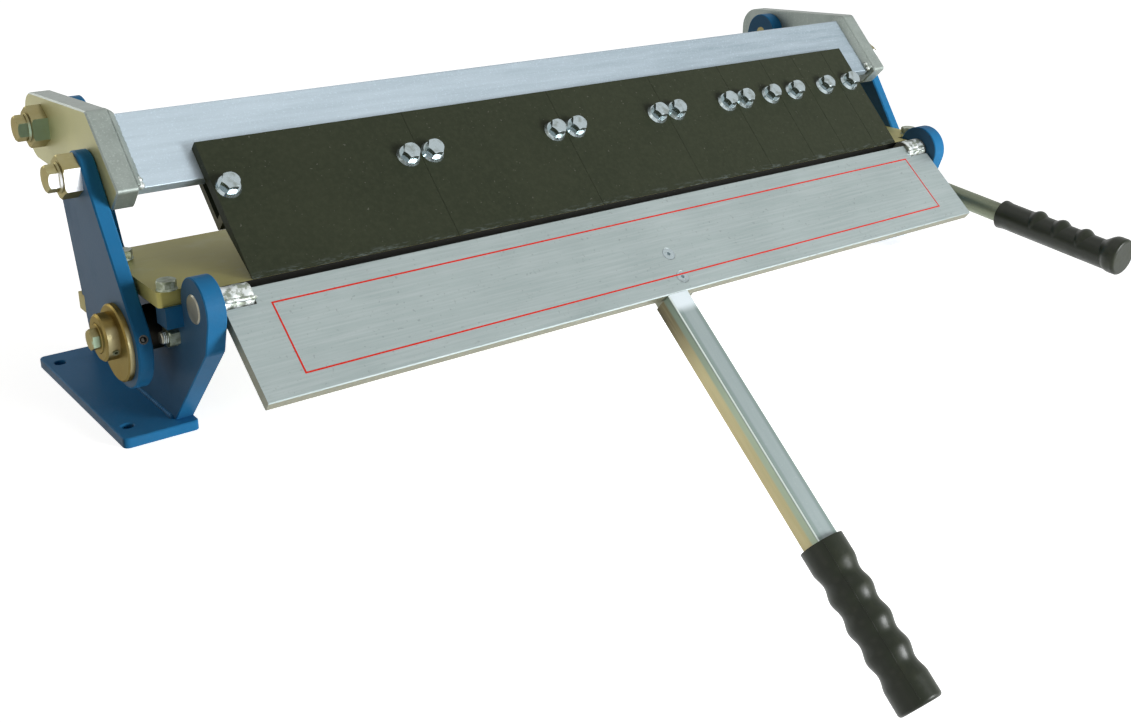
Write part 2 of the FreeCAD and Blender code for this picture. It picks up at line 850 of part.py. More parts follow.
def turned_grip(radius_at):
    """Solid turned about +Z with a radius for each distance from its mouth and a rounded flat end."""
    body = grip_length - grip_end_round
    stations = [body * k / grip_stations for k in range(grip_stations + 1)]
    rim = [V(radius_at(along), 0, along) for along in stations]
    curve = Part.BSplineCurve()
    curve.interpolate(rim)
    last = rim[-1]
    inset = grip_end_round * (1 - math.cos(math.pi / 4))
    shoulder = V(last.x - inset, 0, grip_length - inset)
    flat = V(last.x - grip_end_round, 0, grip_length)
    axis_end = V(0, 0, grip_length)
    outline = [
        Part.makeLine(V(0, 0, 0), rim[0]),
        curve.toShape(),
        Part.Arc(last, shoulder, flat).toShape(),
        Part.makeLine(flat, axis_end),
        Part.makeLine(axis_end, V(0, 0, 0)),
    ]
    return Part.Face(Part.Wire(outline)).revolve(V(0, 0, 0), V(0, 0, 1), 360)


def half_cosine(part):
    """Smooth step from 0 to 1 as part runs from 0 to 1, level outside."""
    return (1 - math.cos(math.pi * min(1, max(0, part)))) / 2


def sleeve_radius_at(along):
    """Plain sleeve of the lever grip with the bead at its mouth."""
    return lever_grip_radius + lever_bead_height * (1 - half_cosine(along / lever_bead_run))


def scallop_radius_at(along):
    """Upper side of the lever grip: narrow ridges between finger scallops, then the flare."""
    flare = (scallop_depth + flare_height) * half_cosine((along - flare_from) / flare_run)
    ridges = (along - scallop_first_ridge) / scallop_pitch
    ridges = min(scallop_ridges - 1 / 2, max(-1 / 2, ridges))
    return scallop_low + flare + scallop_depth * half_cosine(1 - 2 * abs(ridges - round(ridges))) ** 2


def wave_radius_at(along):
    """Handle grip: full at both ends, with a cosine wave between them."""
    first_crest = handle_grip_first_valley - handle_grip_pitch / 2
    waves = (along - first_crest) / handle_grip_pitch
    waves = min(handle_grip_valleys, max(0, waves))
    return handle_grip_radius + handle_grip_wave * math.cos(math.tau * waves)


def lever_grip():
    """Round-bored grip on the lever tube, its scallops upwards and its underside straight."""
    start, ahead, up = lever_frame()
    reach = 2 * (scallop_low + scallop_depth + flare_height)
    upper = turned_grip(scallop_radius_at)
    upper.translate(V(scallop_axis_rise, 0, 0))
    upper = upper.common(block(-lever_grip_radius, reach, -reach, reach, 0, grip_length))
    bore = Part.makeCylinder(lever_tube_radius + thread_gap, grip_length - grip_wall_end)
    grip = turned_grip(sleeve_radius_at).fuse(upper).cut(bore)
    return seat_grip(grip, start + ahead * lever_grip_from, ahead, up)


def seat_grip(grip, mouth, ahead, up):
    """Moves a grip drawn along +Z with its upper side to +X onto its tube."""
    turn = FreeCAD.Rotation(up, ahead.cross(up), ahead, "ZXY")
    placed = grip.copy()
    placed.Placement = FreeCAD.Placement(mouth, turn)
    return placed


def swung(shape):
    """Turns a shape drawn with the leaf level down to where the leaf hangs at rest."""
    hung = shape.copy()
    hung.rotate(V(0, hinge_y, hinge_z), V(1, 0, 0), leaf_droop)
    return hung


def leaf_edge_y():
    return hinge_y + leaf_behind_hinge


def handle_start_y():
    return leaf_edge_y() - leaf_width


def folding_leaf():
    """Flat leaf, notched at its top corners for the hinge pins, bored for the handle screws."""
    top = bed_height
    low = top - leaf_thick
    plate = block(-leaf_half_length, leaf_half_length, handle_start_y(), leaf_edge_y(), low, top)
    notch_front = hinge_y - pin_radius - pin_weld_gap
    notch_inner = leaf_half_length - leaf_notch_length
    notch = block(notch_inner, leaf_half_length, notch_front, leaf_edge_y(), low, top)
    plate = eased_edges(plate, leaf_ease, lambda edge: edge.BoundBox.XLength > leaf_half_length)
    plate = plate.cut(notch).cut(mirrored(notch))
    for row in handle_screw_rows:
        plate = plate.cut(screw_stock(row, bolt_gap))
    return swung(plate)


def screw_stock(row, gap):
    """Countersunk screw along -Z at a distance down the leaf, grown by a gap for its hole."""
    y = leaf_edge_y() - row
    head = Part.makeCone(
        handle_screw_radius + gap, handle_screw_head_radius + gap, handle_screw_head_depth,
        V(handle_screw_right, y, bed_height - handle_screw_head_depth))
    shank = Part.makeCylinder(
        handle_screw_radius + gap, handle_screw_length,
        V(handle_screw_right, y, bed_height - handle_screw_head_depth), V(0, 0, -1))
    return head.fuse(shank)


def handle_screws():
    screws = []
    for row in handle_screw_rows:
        socket = hexagon(handle_screw_radius, handle_screw_head_depth, edge_ease / 2)
        floor = bed_height - handle_screw_head_depth + edge_ease
        socket.translate(V(handle_screw_right, leaf_edge_y() - row, floor))
        screws.append(swung(screw_stock(row, 0).cut(socket)))
    return Part.makeCompound(screws)


def hinge_pin(side):
    """Round pin welded into the leaf's corner notch and running in the stand's ear."""
    inner = leaf_half_length - leaf_notch_length + pin_weld_gap
    pin = rod(pin_radius, inner, stand_outer + pin_dome, hinge_y, hinge_z)
    pin = eased_edges(pin, pin_dome, lambda edge: edge.BoundBox.XMin > stand_outer)
    return sided(pin, side)


def handle_root():
    """Bar under the leaf for the handle screws, with a spigot inside the handle tube."""
    top = bed_height - leaf_thick - pin_weld_gap
    left = root_right - root_width
    edge_y = handle_start_y()
    under = block(left, root_right, edge_y, edge_y + root_under, top - root_drop, top)
    middle = bed_height - handle_size / 2
    half = spigot_size / 2
    spigot = block(
        handle_centre - half, handle_centre + half, edge_y - spigot_length, edge_y,
        middle - half, middle + half)
    spigot = spigot.cut(block(left, root_right, edge_y - pin_weld_gap, edge_y, top, bed_height))
    bar = under.fuse(spigot).removeSplitter()
    for row in handle_screw_rows:
        bar = bar.cut(screw_stock(row, thread_gap))
    return swung(bar)


def square_bar(size, corner, length):
    half = size / 2
    bar = Part.makeBox(size, size, length, V(-half, -half, 0))
    long_edges = [edge for edge in bar.Edges if edge.BoundBox.ZLength > length / 2]
    return bar.makeFillet(corner, long_edges)


def handle_tube():
    """Square tube in line with the leaf, its top flush with the leaf's face."""
    length = handle_grip_from + grip_length - grip_wall_end - face_gap - pin_weld_gap
    tube = square_bar(handle_size, handle_corner, length)
    tube = tube.cut(square_bar(handle_size - 2 * handle_wall, handle_bore_corner, length))
    start = V(handle_centre, handle_start_y() - pin_weld_gap, bed_height - handle_size / 2)
    return swung(aim(tube, start, V(0, -1, 0)))


def handle_grip():
    """Square-bored grip on the handle tube."""
    grip = turned_grip(wave_radius_at)
    grip = grip.cut(square_bar(handle_size + 2 * thread_gap, handle_corner, grip_length - grip_wall_end))
    mouth = V(handle_centre, handle_start_y() - handle_grip_from, bed_height - handle_size / 2)
    return swung(seat_grip(grip, mouth, V(0, -1, 0), V(0, 0, 1)))


def all_nodes():
    nodes = {}
    for name, side in (("left", LEFT), ("right", RIGHT)):
        nodes[name + "_foot_plate"] = foot_plate(side)
        nodes[name + "_side_plate"] = side_plate(side)
        nodes[name + "_bed_lugs"] = bed_lugs(side)
        nodes[name + "_end_plate"] = end_plate(side)
        nodes[name + "_rear_pivot_bush"] = rear_pivot_bush(side)
        nodes[name + "_link"] = link(side)
        nodes[name + "_link_top_bush"] = link_top_bush(side)
        nodes[name + "_ball_oiler"] = ball_oiler(side)
        nodes[name + "_eccentric"] = eccentric(side)
        nodes[name + "_hinge_pin"] = hinge_pin(side)
    nodes["bed_plate"] = bed_plate()
    nodes["bed_bolts"] = bed_bolts()
    nodes["front_tie_rod"] = front_tie_rod()
    nodes["tie_nuts"] = tie_nuts()
    nodes["rear_tie_bar"] = rear_tie_bar()
    nodes["rear_bar_bolts"] = rear_bar_bolts()
    nodes["rear_pivot_bolts"] = rear_pivot_bolts()
    nodes["clamp_beam"] = clamp_beam()
    for i, span in enumerate(finger_spans()):
        nodes["finger_%d" % (i + 1)] = finger(span)
        nodes["finger_clamp_%d" % (i + 1)] = finger_clamp(span)
    nodes["finger_bolts"] = finger_bolts()
    nodes["link_top_bolts"] = link_top_bolts()
    nodes["clamp_shaft"] = clamp_shaft()
    nodes["shaft_collar"] = shaft_collar()
    nodes["lock_screw"] = lock_screw()
    nodes["shaft_end_bolts"] = shaft_end_bolts()
    nodes["lever_hub"] = lever_hub()
    nodes["lever_tube"] = lever_tube()
    nodes["lever_grip"] = lever_grip()
    nodes["folding_leaf"] = folding_leaf()
    nodes["handle_root"] = handle_root()
    nodes["handle_tube"] = handle_tube()
    nodes["handle_grip"] = handle_grip()
    nodes["handle_screws"] = handle_screws()
    return nodes


os.makedirs("parts", exist_ok=True)
for name, shape in all_nodes().items():
    shape.translate(V(0, -(foot_front + foot_length / 2), 0))
    shape.exportStep("parts/" + name + ".step")
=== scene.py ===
import math

import bpy
import numpy as np
from mathutils import Matrix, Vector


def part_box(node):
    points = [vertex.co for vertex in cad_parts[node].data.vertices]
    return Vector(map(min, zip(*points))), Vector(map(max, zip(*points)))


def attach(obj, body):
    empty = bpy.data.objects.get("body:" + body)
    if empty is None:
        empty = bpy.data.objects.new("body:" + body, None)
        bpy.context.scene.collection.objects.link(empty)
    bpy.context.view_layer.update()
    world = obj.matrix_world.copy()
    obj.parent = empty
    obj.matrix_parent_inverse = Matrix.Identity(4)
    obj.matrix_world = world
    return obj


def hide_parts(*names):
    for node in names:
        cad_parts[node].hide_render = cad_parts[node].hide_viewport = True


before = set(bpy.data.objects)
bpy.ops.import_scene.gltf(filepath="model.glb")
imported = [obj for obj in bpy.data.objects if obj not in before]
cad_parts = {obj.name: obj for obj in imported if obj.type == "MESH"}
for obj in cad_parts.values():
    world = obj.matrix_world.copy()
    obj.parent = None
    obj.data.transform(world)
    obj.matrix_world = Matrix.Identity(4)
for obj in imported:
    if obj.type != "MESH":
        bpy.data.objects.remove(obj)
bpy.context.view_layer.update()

# Box and pan brake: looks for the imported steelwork, weld beads, threads, moulding lines and studio.
# Metres, +X along the bend to the lever end, +Y to the back, +Z up, 0 under the feet.

TAU = math.tau
LEFT, RIGHT = -1, 1

# Camera, as the photograph was taken
CAMERA_AT = (-0.9302, -1.2909, 0.5701)
CAMERA_YAW = math.radians(38.16)
CAMERA_DOWN = math.radians(20.48)
CAMERA_ROLL = math.radians(0.34)
CAMERA_LENS = 42.60
CAMERA_SENSOR = 36.0
CAMERA_SHIFT = (-0.0179, -0.0464)

# Finger slope and bend line. BEAM_BOTTOM and BEAM_TOP are distances up the slope from the fingers' nose.
BED_TOP = 0.158
NOSE_LIFT = 0.0003
BEND_Y = -0.176
FINGER_THICK = 0.012
BEAM_BOTTOM = 0.121
BEAM_TOP = 0.207
BEAM_LEG = 0.086

# Folding leaf at rest, with its face above the hinge axis and its rear edge behind it
HINGE_Y = -0.1912
HINGE_Z = 0.1476
LEAF_DROOP = math.radians(39.4)
LEAF_FACE = 0.0104
LEAF_BEHIND = 0.0044
LEAF_HALF = 0.491
LEAF_WIDTH = 0.119

# Printed border line on the leaf
LINE_SIDE = 0.044
LINE_TOP = 0.0200
LINE_LOW = 0.0994
LINE_WIDTH = 0.0017
LINE_THICK = 0.00012

# Handle grip and tube
GRIP_FROM = 0.303
GRIP_LENGTH = 0.180
GRIP_MEAN = 0.0226
GRIP_WAVE = 0.0016
GRIP_PITCH = 0.033
GRIP_FIRST_VALLEY = 0.039
GRIP_VALLEYS = 4
HANDLE_X = -0.0145
HANDLE_SIZE = 0.0294
CORNER_REFLECTION_BAND = 0.0085
SEAM_RADIUS = 0.00035
SEAM_SINK = 0.00002
SEAM_ANGLES = (math.radians(126), math.radians(306))

# Lever's slope, and where the eccentric discs begin, from the middle of the machine
LEVER_SLOPE = math.radians(6.0)
DISC_INNER = 0.5511

# Weld metal
FILLET_LEG = 0.0072
CORNER_BEAD = 0.0034
CORNER_BEAD_STEPS = (0.0015, 0.0075)
CORNER_BEAD_REACH = (0.0005, 0.0040, 0.0075)
CORNER_BEAD_OUT = 0.0035
FOOT_BEAD = 0.0030
FOOT_BEAD_RIPPLE = 0.004
FOOT_BEAD_FROM = 0.066
FOOT_BEAD_SHORT = 0.013
PIN_SKIN = 0.0002
PIN_BUILD = 0.0011
PIN_OVERRUN = 0.0004
PIN_BEAD = 0.0024
PIN_BEAD_RIPPLE = 0.0083
PIN_BEAD_ANGLE = 2.75

# Shaft end bolts and the washers under them
WASHER_DEEP = 0.0064
WASHER_PROUD = 0.0010
WASHER_RADIUS = 0.0145
WASHER_BORE = 0.0058
WASHER_EASE = 0.0008
END_BOLT_ACROSS = 0.019
END_BOLT_HEAD = 0.0075
END_BOLT_SHANK = 0.0056
END_BOLT_PAST_WASHER = 0.012

# Thread on the tie rod's tips
TIE_THREAD_RADIUS = 0.0064
TIE_THREAD_PITCH = 0.00175
TIE_THREAD_CLEAR = 0.0002

# Floor and bench
GROUND_TOP = -0.42
GROUND_THICK = 0.04
FLOOR_HALF = 9
FLOOR_GLOW = 0.78
UNDER_FEET = 0.0003


def slope_point(along, out):
    """Y and Z of a point up the finger slope from the nose and out from the fingers' front plane:
    the two distances turned by 45 degrees."""
    half = math.sqrt(0.5)
    return BEND_Y + (along - out) * half, BED_TOP + NOSE_LIFT + (along + out) * half


def leaf_point(x, down, out):
    """Point on the hanging leaf: x along the bend, down from its hinge edge, out from its face."""
    forward = down - LEAF_BEHIND
    rise = LEAF_FACE + out
    y = HINGE_Y - forward * math.cos(LEAF_DROOP) - rise * math.sin(LEAF_DROOP)
    z = HINGE_Z - forward * math.sin(LEAF_DROOP) + rise * math.cos(LEAF_DROOP)
    return x, y, z


# ---------------------------------------------------------------- surfaces


class Shape:
    """Points and faces of a piece, gathered from grids of rings."""

    def __init__(self):
        self.points, self.quads, self.corners, self.count = [], [], [], 0

    def add(self, grid, hoop=False):
        """Adds a grid of points, row by column. Its columns close on themselves. The rows close too in a
        hoop, else a middle point closes each end. Faces are turned by the sign of the volume they hold,
        the sum of a . (b x c) over their triangles."""
        grid = np.asarray(grid, float)
        rows, columns = grid.shape[:2]
        i, j = np.meshgrid(np.arange(rows if hoop else rows - 1), np.arange(columns), indexing="ij")
        k, here, there = (j + 1) % columns, i * columns, (i + 1) % rows * columns
        quads = np.stack([here + j, here + k, there + k, there + j], -1).reshape(-1, 4)
        points = grid.reshape(-1, 3)
        corners = np.zeros((0, 3), int)
        if not hoop:
            points = np.vstack([points, grid[0].mean(0), grid[-1].mean(0)])
            j = np.arange(columns)
            k, last, middle = (j + 1) % columns, (rows - 1) * columns, rows * columns
            corners = np.vstack([np.stack([middle + 0 * j, k, j], -1),
                                 np.stack([middle + 1 + 0 * j, last + j, last + k], -1)])
        fans = np.vstack([quads[:, :3], quads[:, [0, 2, 3]], corners])
        a, b, c = (points[fans[:, n]] - points[0] for n in range(3))
        turn = 1 if (a * np.cross(b, c)).sum() > 0 else -1
        self.points.append(points)
        self.quads.append(quads[:, ::turn] + self.count)
        self.corners.append(corners[:, ::turn] + self.count)
        self.count += len(points)

    def piece(self, name, body, slot, finish, smooth=True):
        """Makes the object on its body, smooth or flat shaded."""
        mesh = bpy.data.meshes.new(name)
        faces = np.vstack(self.quads).tolist() + np.vstack(self.corners).tolist()
        mesh.from_pydata(np.vstack(self.points).tolist(), [], faces)
        mesh.validate()
        if smooth:
            mesh.shade_smooth()
        else:
            mesh.shade_flat()
        piece = bpy.data.objects.new(name, mesh)
        bpy.context.scene.collection.objects.link(piece)
        mesh.materials.append(finish)
        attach(piece, body)
        return piece


def circle(count):
    """Angles once round, without the last."""
    return np.linspace(0, TAU, count, endpoint=False)


def inner_face(node, side):
    """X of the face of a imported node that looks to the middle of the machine."""
    low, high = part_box(node)
    return high.x if side == LEFT else low.x


def axis_of(node):
    """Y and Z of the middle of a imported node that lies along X."""
    low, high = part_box(node)
    return (low.y + high.y) / 2, (low.z + high.z) / 2


def rings_along(x, y, z, side, stations, radii, turn):
    """Rings round an axis along X through y and z: point at x + side * station, and r cos a, r sin a."""
    across = np.broadcast_to(radii, (len(stations), len(turn)))
    px = x + side * np.repeat(np.asarray(stations, float)[:, None], len(turn), 1)
    return np.stack([px, y + across * np.cos(turn), z + across * np.sin(turn)], -1)


def rope(path, radii, sides):
    """Rope: at each path point p a ring p + r * (n cos a + b sin a), with n and b square to the path's
    heading and a running once round."""
    heading = np.gradient(path, axis=0)
    heading /= np.linalg.norm(heading, axis=1, keepdims=True)
    normal = np.cross(heading, (0.31, 0.47, 0.83))
    normal /= np.linalg.norm(normal, axis=1, keepdims=True)
    across = np.cross(heading, normal)
    turn = circle(sides)
    ring = normal[:, None] * np.cos(turn)[None, :, None] + across[:, None] * np.sin(turn)[None, :, None]
    return path[:, None] + np.asarray(radii)[:, None, None] * ring


def resampled(corners, step):
    """Points at even steps along a broken line, by straight interpolation over its length."""
    corners = np.asarray(corners, float)
    runs = np.linalg.norm(np.diff(corners, axis=0), axis=1)
    length = np.concatenate([[0], np.cumsum(runs)])
    along = np.linspace(0, length[-1], max(6, int(length[-1] / step) + 1))
    return np.stack([np.interp(along, length, corners[:, k]) for k in range(3)], 1), along


def weld_piece(name, lines, radius, body, slot, finish, ripple=0.0032):
    """Weld beads along several lines. At a distance s along a line the bead's radius is
    radius * (1 + 0.10 sin(tau s / ripple) + 0.08 sin(tau s / (7.3 ripple))), and it closes over one radius
    at each end as a quarter circle."""
    shape = Shape()
    for line in lines:
        path, along = resampled(line, ripple / 4)
        to_end = np.minimum(along, along[-1] - along)
        closing = np.sqrt(np.clip(1 - (1 - np.minimum(to_end / radius, 1)) ** 2, 0.02, 1))
        wave = 1 + 0.10 * np.sin(TAU * along / ripple) + 0.08 * np.sin(TAU * along / (7.3 * ripple))
        shape.add(rope(path, radius * wave * closing, 10))
    return shape.piece(name, body, slot, finish)


def thread_piece(name, starts, length, radius, pitch, body, slot, finish):
    """Screw threads along X. Each is a closed tube whose radius at x and angle a is
    radius - 0.54 pitch * |2 frac(x / pitch - a / tau) - 1|, a triangle wave wound into a helix. Over the
    last 0.8 of a pitch it shrinks to 0.82 of that."""
    turn = circle(28)
    stations = np.linspace(0, length, int(length / pitch * 8) + 1)
    depth = 0.54 * pitch * np.abs(2 * ((stations[:, None] / pitch - turn / TAU) % 1) - 1)
    end_ease = np.clip((length - stations) / (0.8 * pitch), 0, 1)[:, None]
    shape = Shape()
    for x, y, z, side in starts:
        shape.add(rings_along(x, y, z, side, stations, (radius - depth) * (0.82 + 0.18 * end_ease), turn))
    return shape.piece(name, body, slot, finish)


# ---------------------------------------------------------------- finishes


class Wire:
    """A socket of a finish. Arithmetic on it adds Math nodes."""

    def __init__(self, finish, socket):
        self.finish = finish
        self.socket = socket

    def __add__(self, other):
        return self.finish.math("ADD", self, other)

    __radd__ = __add__

    def __mul__(self, other):
        return self.finish.math("MULTIPLY", self, other)

    __rmul__ = __mul__

    def __sub__(self, other):
        return self.finish.math("SUBTRACT", self, other)

    def __rsub__(self, other):
        return self.finish.math("SUBTRACT", other, self)


class Finish:
    """A material while it is drawn, with the nodes that its pattern needs."""

    def __init__(self, name, world=None):
        self.material = world or bpy.data.materials.new(name)
        self.material.use_nodes = True
        self.tree = self.material.node_tree
        if world is None:
            self.shader = self.tree.nodes["Principled BSDF"]

    def node(self, kind, settings=None, sockets=None, output=0):
        """Adds a node of a type, sets its settings first, then fills its sockets with values or wires."""
        node = self.tree.nodes.new("ShaderNode" + kind)
        for key, value in (settings or {}).items():
            if key == "stops":
                self.set_stops(node.color_ramp, value)
            else:
                setattr(node, key, value)
        for key, value in (sockets or {}).items():
            self.plug(node.inputs[key], value)
        return Wire(self, node.outputs[output])

    def set_stops(self, ramp, stops):
        """Stops are (position, grey or colour), from low to high."""
        while len(ramp.elements) < len(stops):
            ramp.elements.new(0.5)
        for element, (position, tone) in zip(ramp.elements, stops):
            element.position = position
            element.color = (*tone, 1) if isinstance(tone, tuple) else (tone, tone, tone, 1)

    def plug(self, socket, value):
        if isinstance(value, Wire):
            self.tree.links.new(value.socket, socket)
        elif isinstance(value, tuple) and len(value) == 3 and socket.type == "RGBA":
            socket.default_value = (*value, 1)
        else:
            socket.default_value = value

    def math(self, operation, first, second=0.0):
        return self.node("Math", {"operation": operation}, {0: first, 1: second})

    def place(self):
        return self.node("TexCoord", output=3)

    def facing(self):
        """Object-space normal."""
        return self.node("TexCoord", output=1)

    def along(self, vector, direction):
        """How far a vector reaches along a direction."""
        return self.node("VectorMath", {"operation": "DOT_PRODUCT"}, {0: vector, 1: direction}, output=1)

    def stretched(self, scale, turn=(0, 0, 0)):
        """Object coordinates turned back, then scaled, for a pattern drawn out along a slanting piece."""
        return self.node("Mapping", {"vector_type": "TEXTURE"},
                         {"Vector": self.place(), "Rotation": turn, "Scale": tuple(1 / s for s in scale)})

    def noise(self, vector, scale, detail=2.0, rough=0.5):
        return self.node("TexNoise", None,
                         {"Vector": vector, "Scale": scale, "Detail": detail, "Roughness": rough})

    def step(self, value, low, high):
        """Smooth step of a value from 0 at low to 1 at high."""
        return self.node("MapRange", {"interpolation_type": "SMOOTHSTEP"},
                         {"Value": value, "From Min": low, "From Max": high})

    def tint(self, amount, colour, other):
        """Colour turning into another by an amount from 0 to 1."""
        return self.node("Mix", {"data_type": "RGBA"}, {0: amount, 6: colour, 7: other}, output=2)

    def bump(self, height, strength, distance, under=None):
        sockets = {"Height": height, "Strength": strength, "Distance": distance}
        if under is not None:
            sockets["Normal"] = under
        return self.node("Bump", None, sockets)

    def done(self, **sockets):
        """Fills the main shader's sockets, named with underscores for spaces, and gives the material."""
        for key, value in sockets.items():
            self.plug(self.shader.inputs[key.replace("_", " ")], value)
        return self.material


def blue_enamel():
    """Gloss enamel over steel: slight orange peel, uneven depth of colour, a few pale rubs, dust, and
    painted
    shade: a dull grey on the faces that look to the left."""
    f = Finish("blue_enamel")
    place = f.place()
    depth = f.noise(place, 9.0, 3.0)
    rubs = f.step(f.noise(f.stretched((60, 60, 20)), 3.0, 6.0, 0.7), 0.63, 0.74)
    dust = f.step(f.noise(place, 24.0, 5.0, 0.6), 0.45, 0.80)
    colour = f.tint(depth, (0.015, 0.135, 0.300), (0.028, 0.195, 0.410))
    colour = f.tint(rubs * 0.22, colour, (0.12, 0.26, 0.42))
    colour = f.tint(dust * 0.16, colour, (0.11, 0.13, 0.14))
    # Painted shade: faces that look to the left are dulled towards grey.
    left = f.step(f.along(f.facing(), (-1, 0, 0)), 0.80, 0.95)
    colour = f.tint(left * 0.5, colour, (0.075, 0.085, 0.085))
    peel = f.noise(place, 420.0, 1.0)
    return f.done(Base_Color=colour, Roughness=0.40 + 0.2 * rubs + 0.1 * dust, Specular_IOR_Level=0.05,
                  Normal=f.bump(peel, 0.14, 0.0006))


def leaf_steel():
    """Plated plate: rolled grain along the bend, cloudy handling marks, small scratches, a painted tan
    reflection on its lower edge and its ends, and painted shade, nearly black, on its rear edge, which
    rolls against the bed."""
    f = Finish("leaf_steel")
    grain = f.noise(f.stretched((14, 420, 420), (LEAF_DROOP, 0, 0)), 1.0, 4.0, 0.6)
    cloud = f.noise(f.place(), 11.0, 4.0, 0.55)
    speck = f.step(f.noise(f.place(), 260.0, 2.0), 0.64, 0.74)
    scratch = f.step(f.noise(f.stretched((60, 1500, 1500), (0.3, 0.9, 0.4)), 1.0, 2.0), 0.68, 0.73)
    back = f.along(f.facing(), (0, math.cos(LEAF_DROOP), math.sin(LEAF_DROOP)))
    sides = f.math("ABSOLUTE", f.along(f.facing(), (1, 0, 0)))
    # Painted reflection: a tan tint on the lower edge, which faces forward and down, and on the ends.
    film_and_painted_light = f.math("MAXIMUM", f.step(0.0 - back, 0.80, 0.95), f.step(sides, 0.80, 0.95))
    colour = f.tint(cloud, (0.275, 0.335, 0.330), (0.400, 0.465, 0.460))
    colour = f.tint(f.step(grain, 0.35, 0.75) * 0.5, colour, (0.46, 0.51, 0.51))
    colour = f.tint(scratch * 0.4, colour, (0.52, 0.55, 0.55))
    colour = f.tint(speck * 0.35, colour, (0.16, 0.17, 0.16))
    colour = f.tint(film_and_painted_light * 0.85, colour, (0.215, 0.205, 0.125))
    # Painted shade: the rear edge, facing back and up under the fingers, is tinted nearly black.
    colour = f.tint(f.step(back, 0.80, 0.95) * 0.9, colour, (0.020, 0.022, 0.018))
    return f.done(Base_Color=colour, Metallic=0.50, Roughness=0.36 + 0.16 * cloud,
                  Normal=f.bump(grain, 0.12, 0.0004))


def bed_steel():
    """Bed plate: scratched steel under a tan coat of old oil, wiped cleaner in patches, and painted shade,
    nearly black, on its front between the leaf's ends."""
    f = Finish("bed_steel")
    place = f.place()
    grain = f.noise(f.stretched((14, 420, 420)), 1.0, 4.0, 0.6)
    film_and_painted_light = f.noise(place, 8.0, 5.0, 0.6)
    wiped = f.step(f.noise(place, 21.0, 4.0), 0.50, 0.72)
    # Painted shade: the front face between the leaf's ends is tinted nearly black.
    front = f.step(f.along(f.facing(), (0, -1, 0)), 0.6, 0.9)
    between = 1 - f.step(f.math("ABSOLUTE", f.along(place, (1, 0, 0))), LEAF_HALF, LEAF_HALF + 0.004)
    colour = f.tint(film_and_painted_light, (0.270, 0.245, 0.050), (0.540, 0.480, 0.145))
    colour = f.tint(wiped * 0.4, colour, (0.46, 0.46, 0.25))
    colour = f.tint(grain * 0.2, colour, (0.42, 0.42, 0.32))
    colour = f.tint(front * between, colour, (0.010, 0.010, 0.008))
    return f.done(Base_Color=colour, Metallic=0.45, Roughness=0.38 + 0.2 * film_and_painted_light, Specular_IOR_Level=0.15,
                  Normal=f.bump(grain, 0.12, 0.0004))


def streaked_zinc(name, turn, run, dark, pale, reflection_tone, left_reflection=0.0):
    """Zinc over rolled steel: long pale streaks along the piece with fine frosting, and a painted warm
    reflection on the outward faces square to the bend line. A painted pale reflection grows towards the
    left by the amount given last."""
    f = Finish(name)
    streak = f.noise(f.stretched(run, turn), 1.0, 5.0, 0.65)
    frost = f.noise(f.place(), 480.0, 3.0, 0.7)
    cloud = f.noise(f.place(), 16.0, 3.0)
    side = f.along(f.place(), (1, 0, 0))
    # Painted reflection: outward faces square to the bend line take a warm tan, varied by a cloud.
    outward_reflection = f.step(f.along(f.facing(), (1, 0, 0)) * f.math("SIGN", side), 0.75, 0.95)
    colour = f.tint(streak, dark, pale)
    colour = f.tint(f.step(frost, 0.52, 0.75) * 0.5, colour, tuple(min(1.0, 1.3 * c) for c in pale))
    # Painted reflection: paler and bluer towards the left end.
    colour = f.tint((1 - f.step(side, -0.55, 0.55)) * left_reflection, colour, (0.74, 0.86, 0.95))
    film_and_painted_light = f.tint(cloud, reflection_tone, tuple(0.72 * c for c in reflection_tone))
    colour = f.tint(outward_reflection * 0.9, colour, film_and_painted_light)
    return f.done(Base_Color=colour, Metallic=0.50, Roughness=0.36 + 0.2 * frost,
                  Specular_IOR_Level=0.35, Normal=f.bump(streak + 0.5 * frost, 0.18, 0.0006))


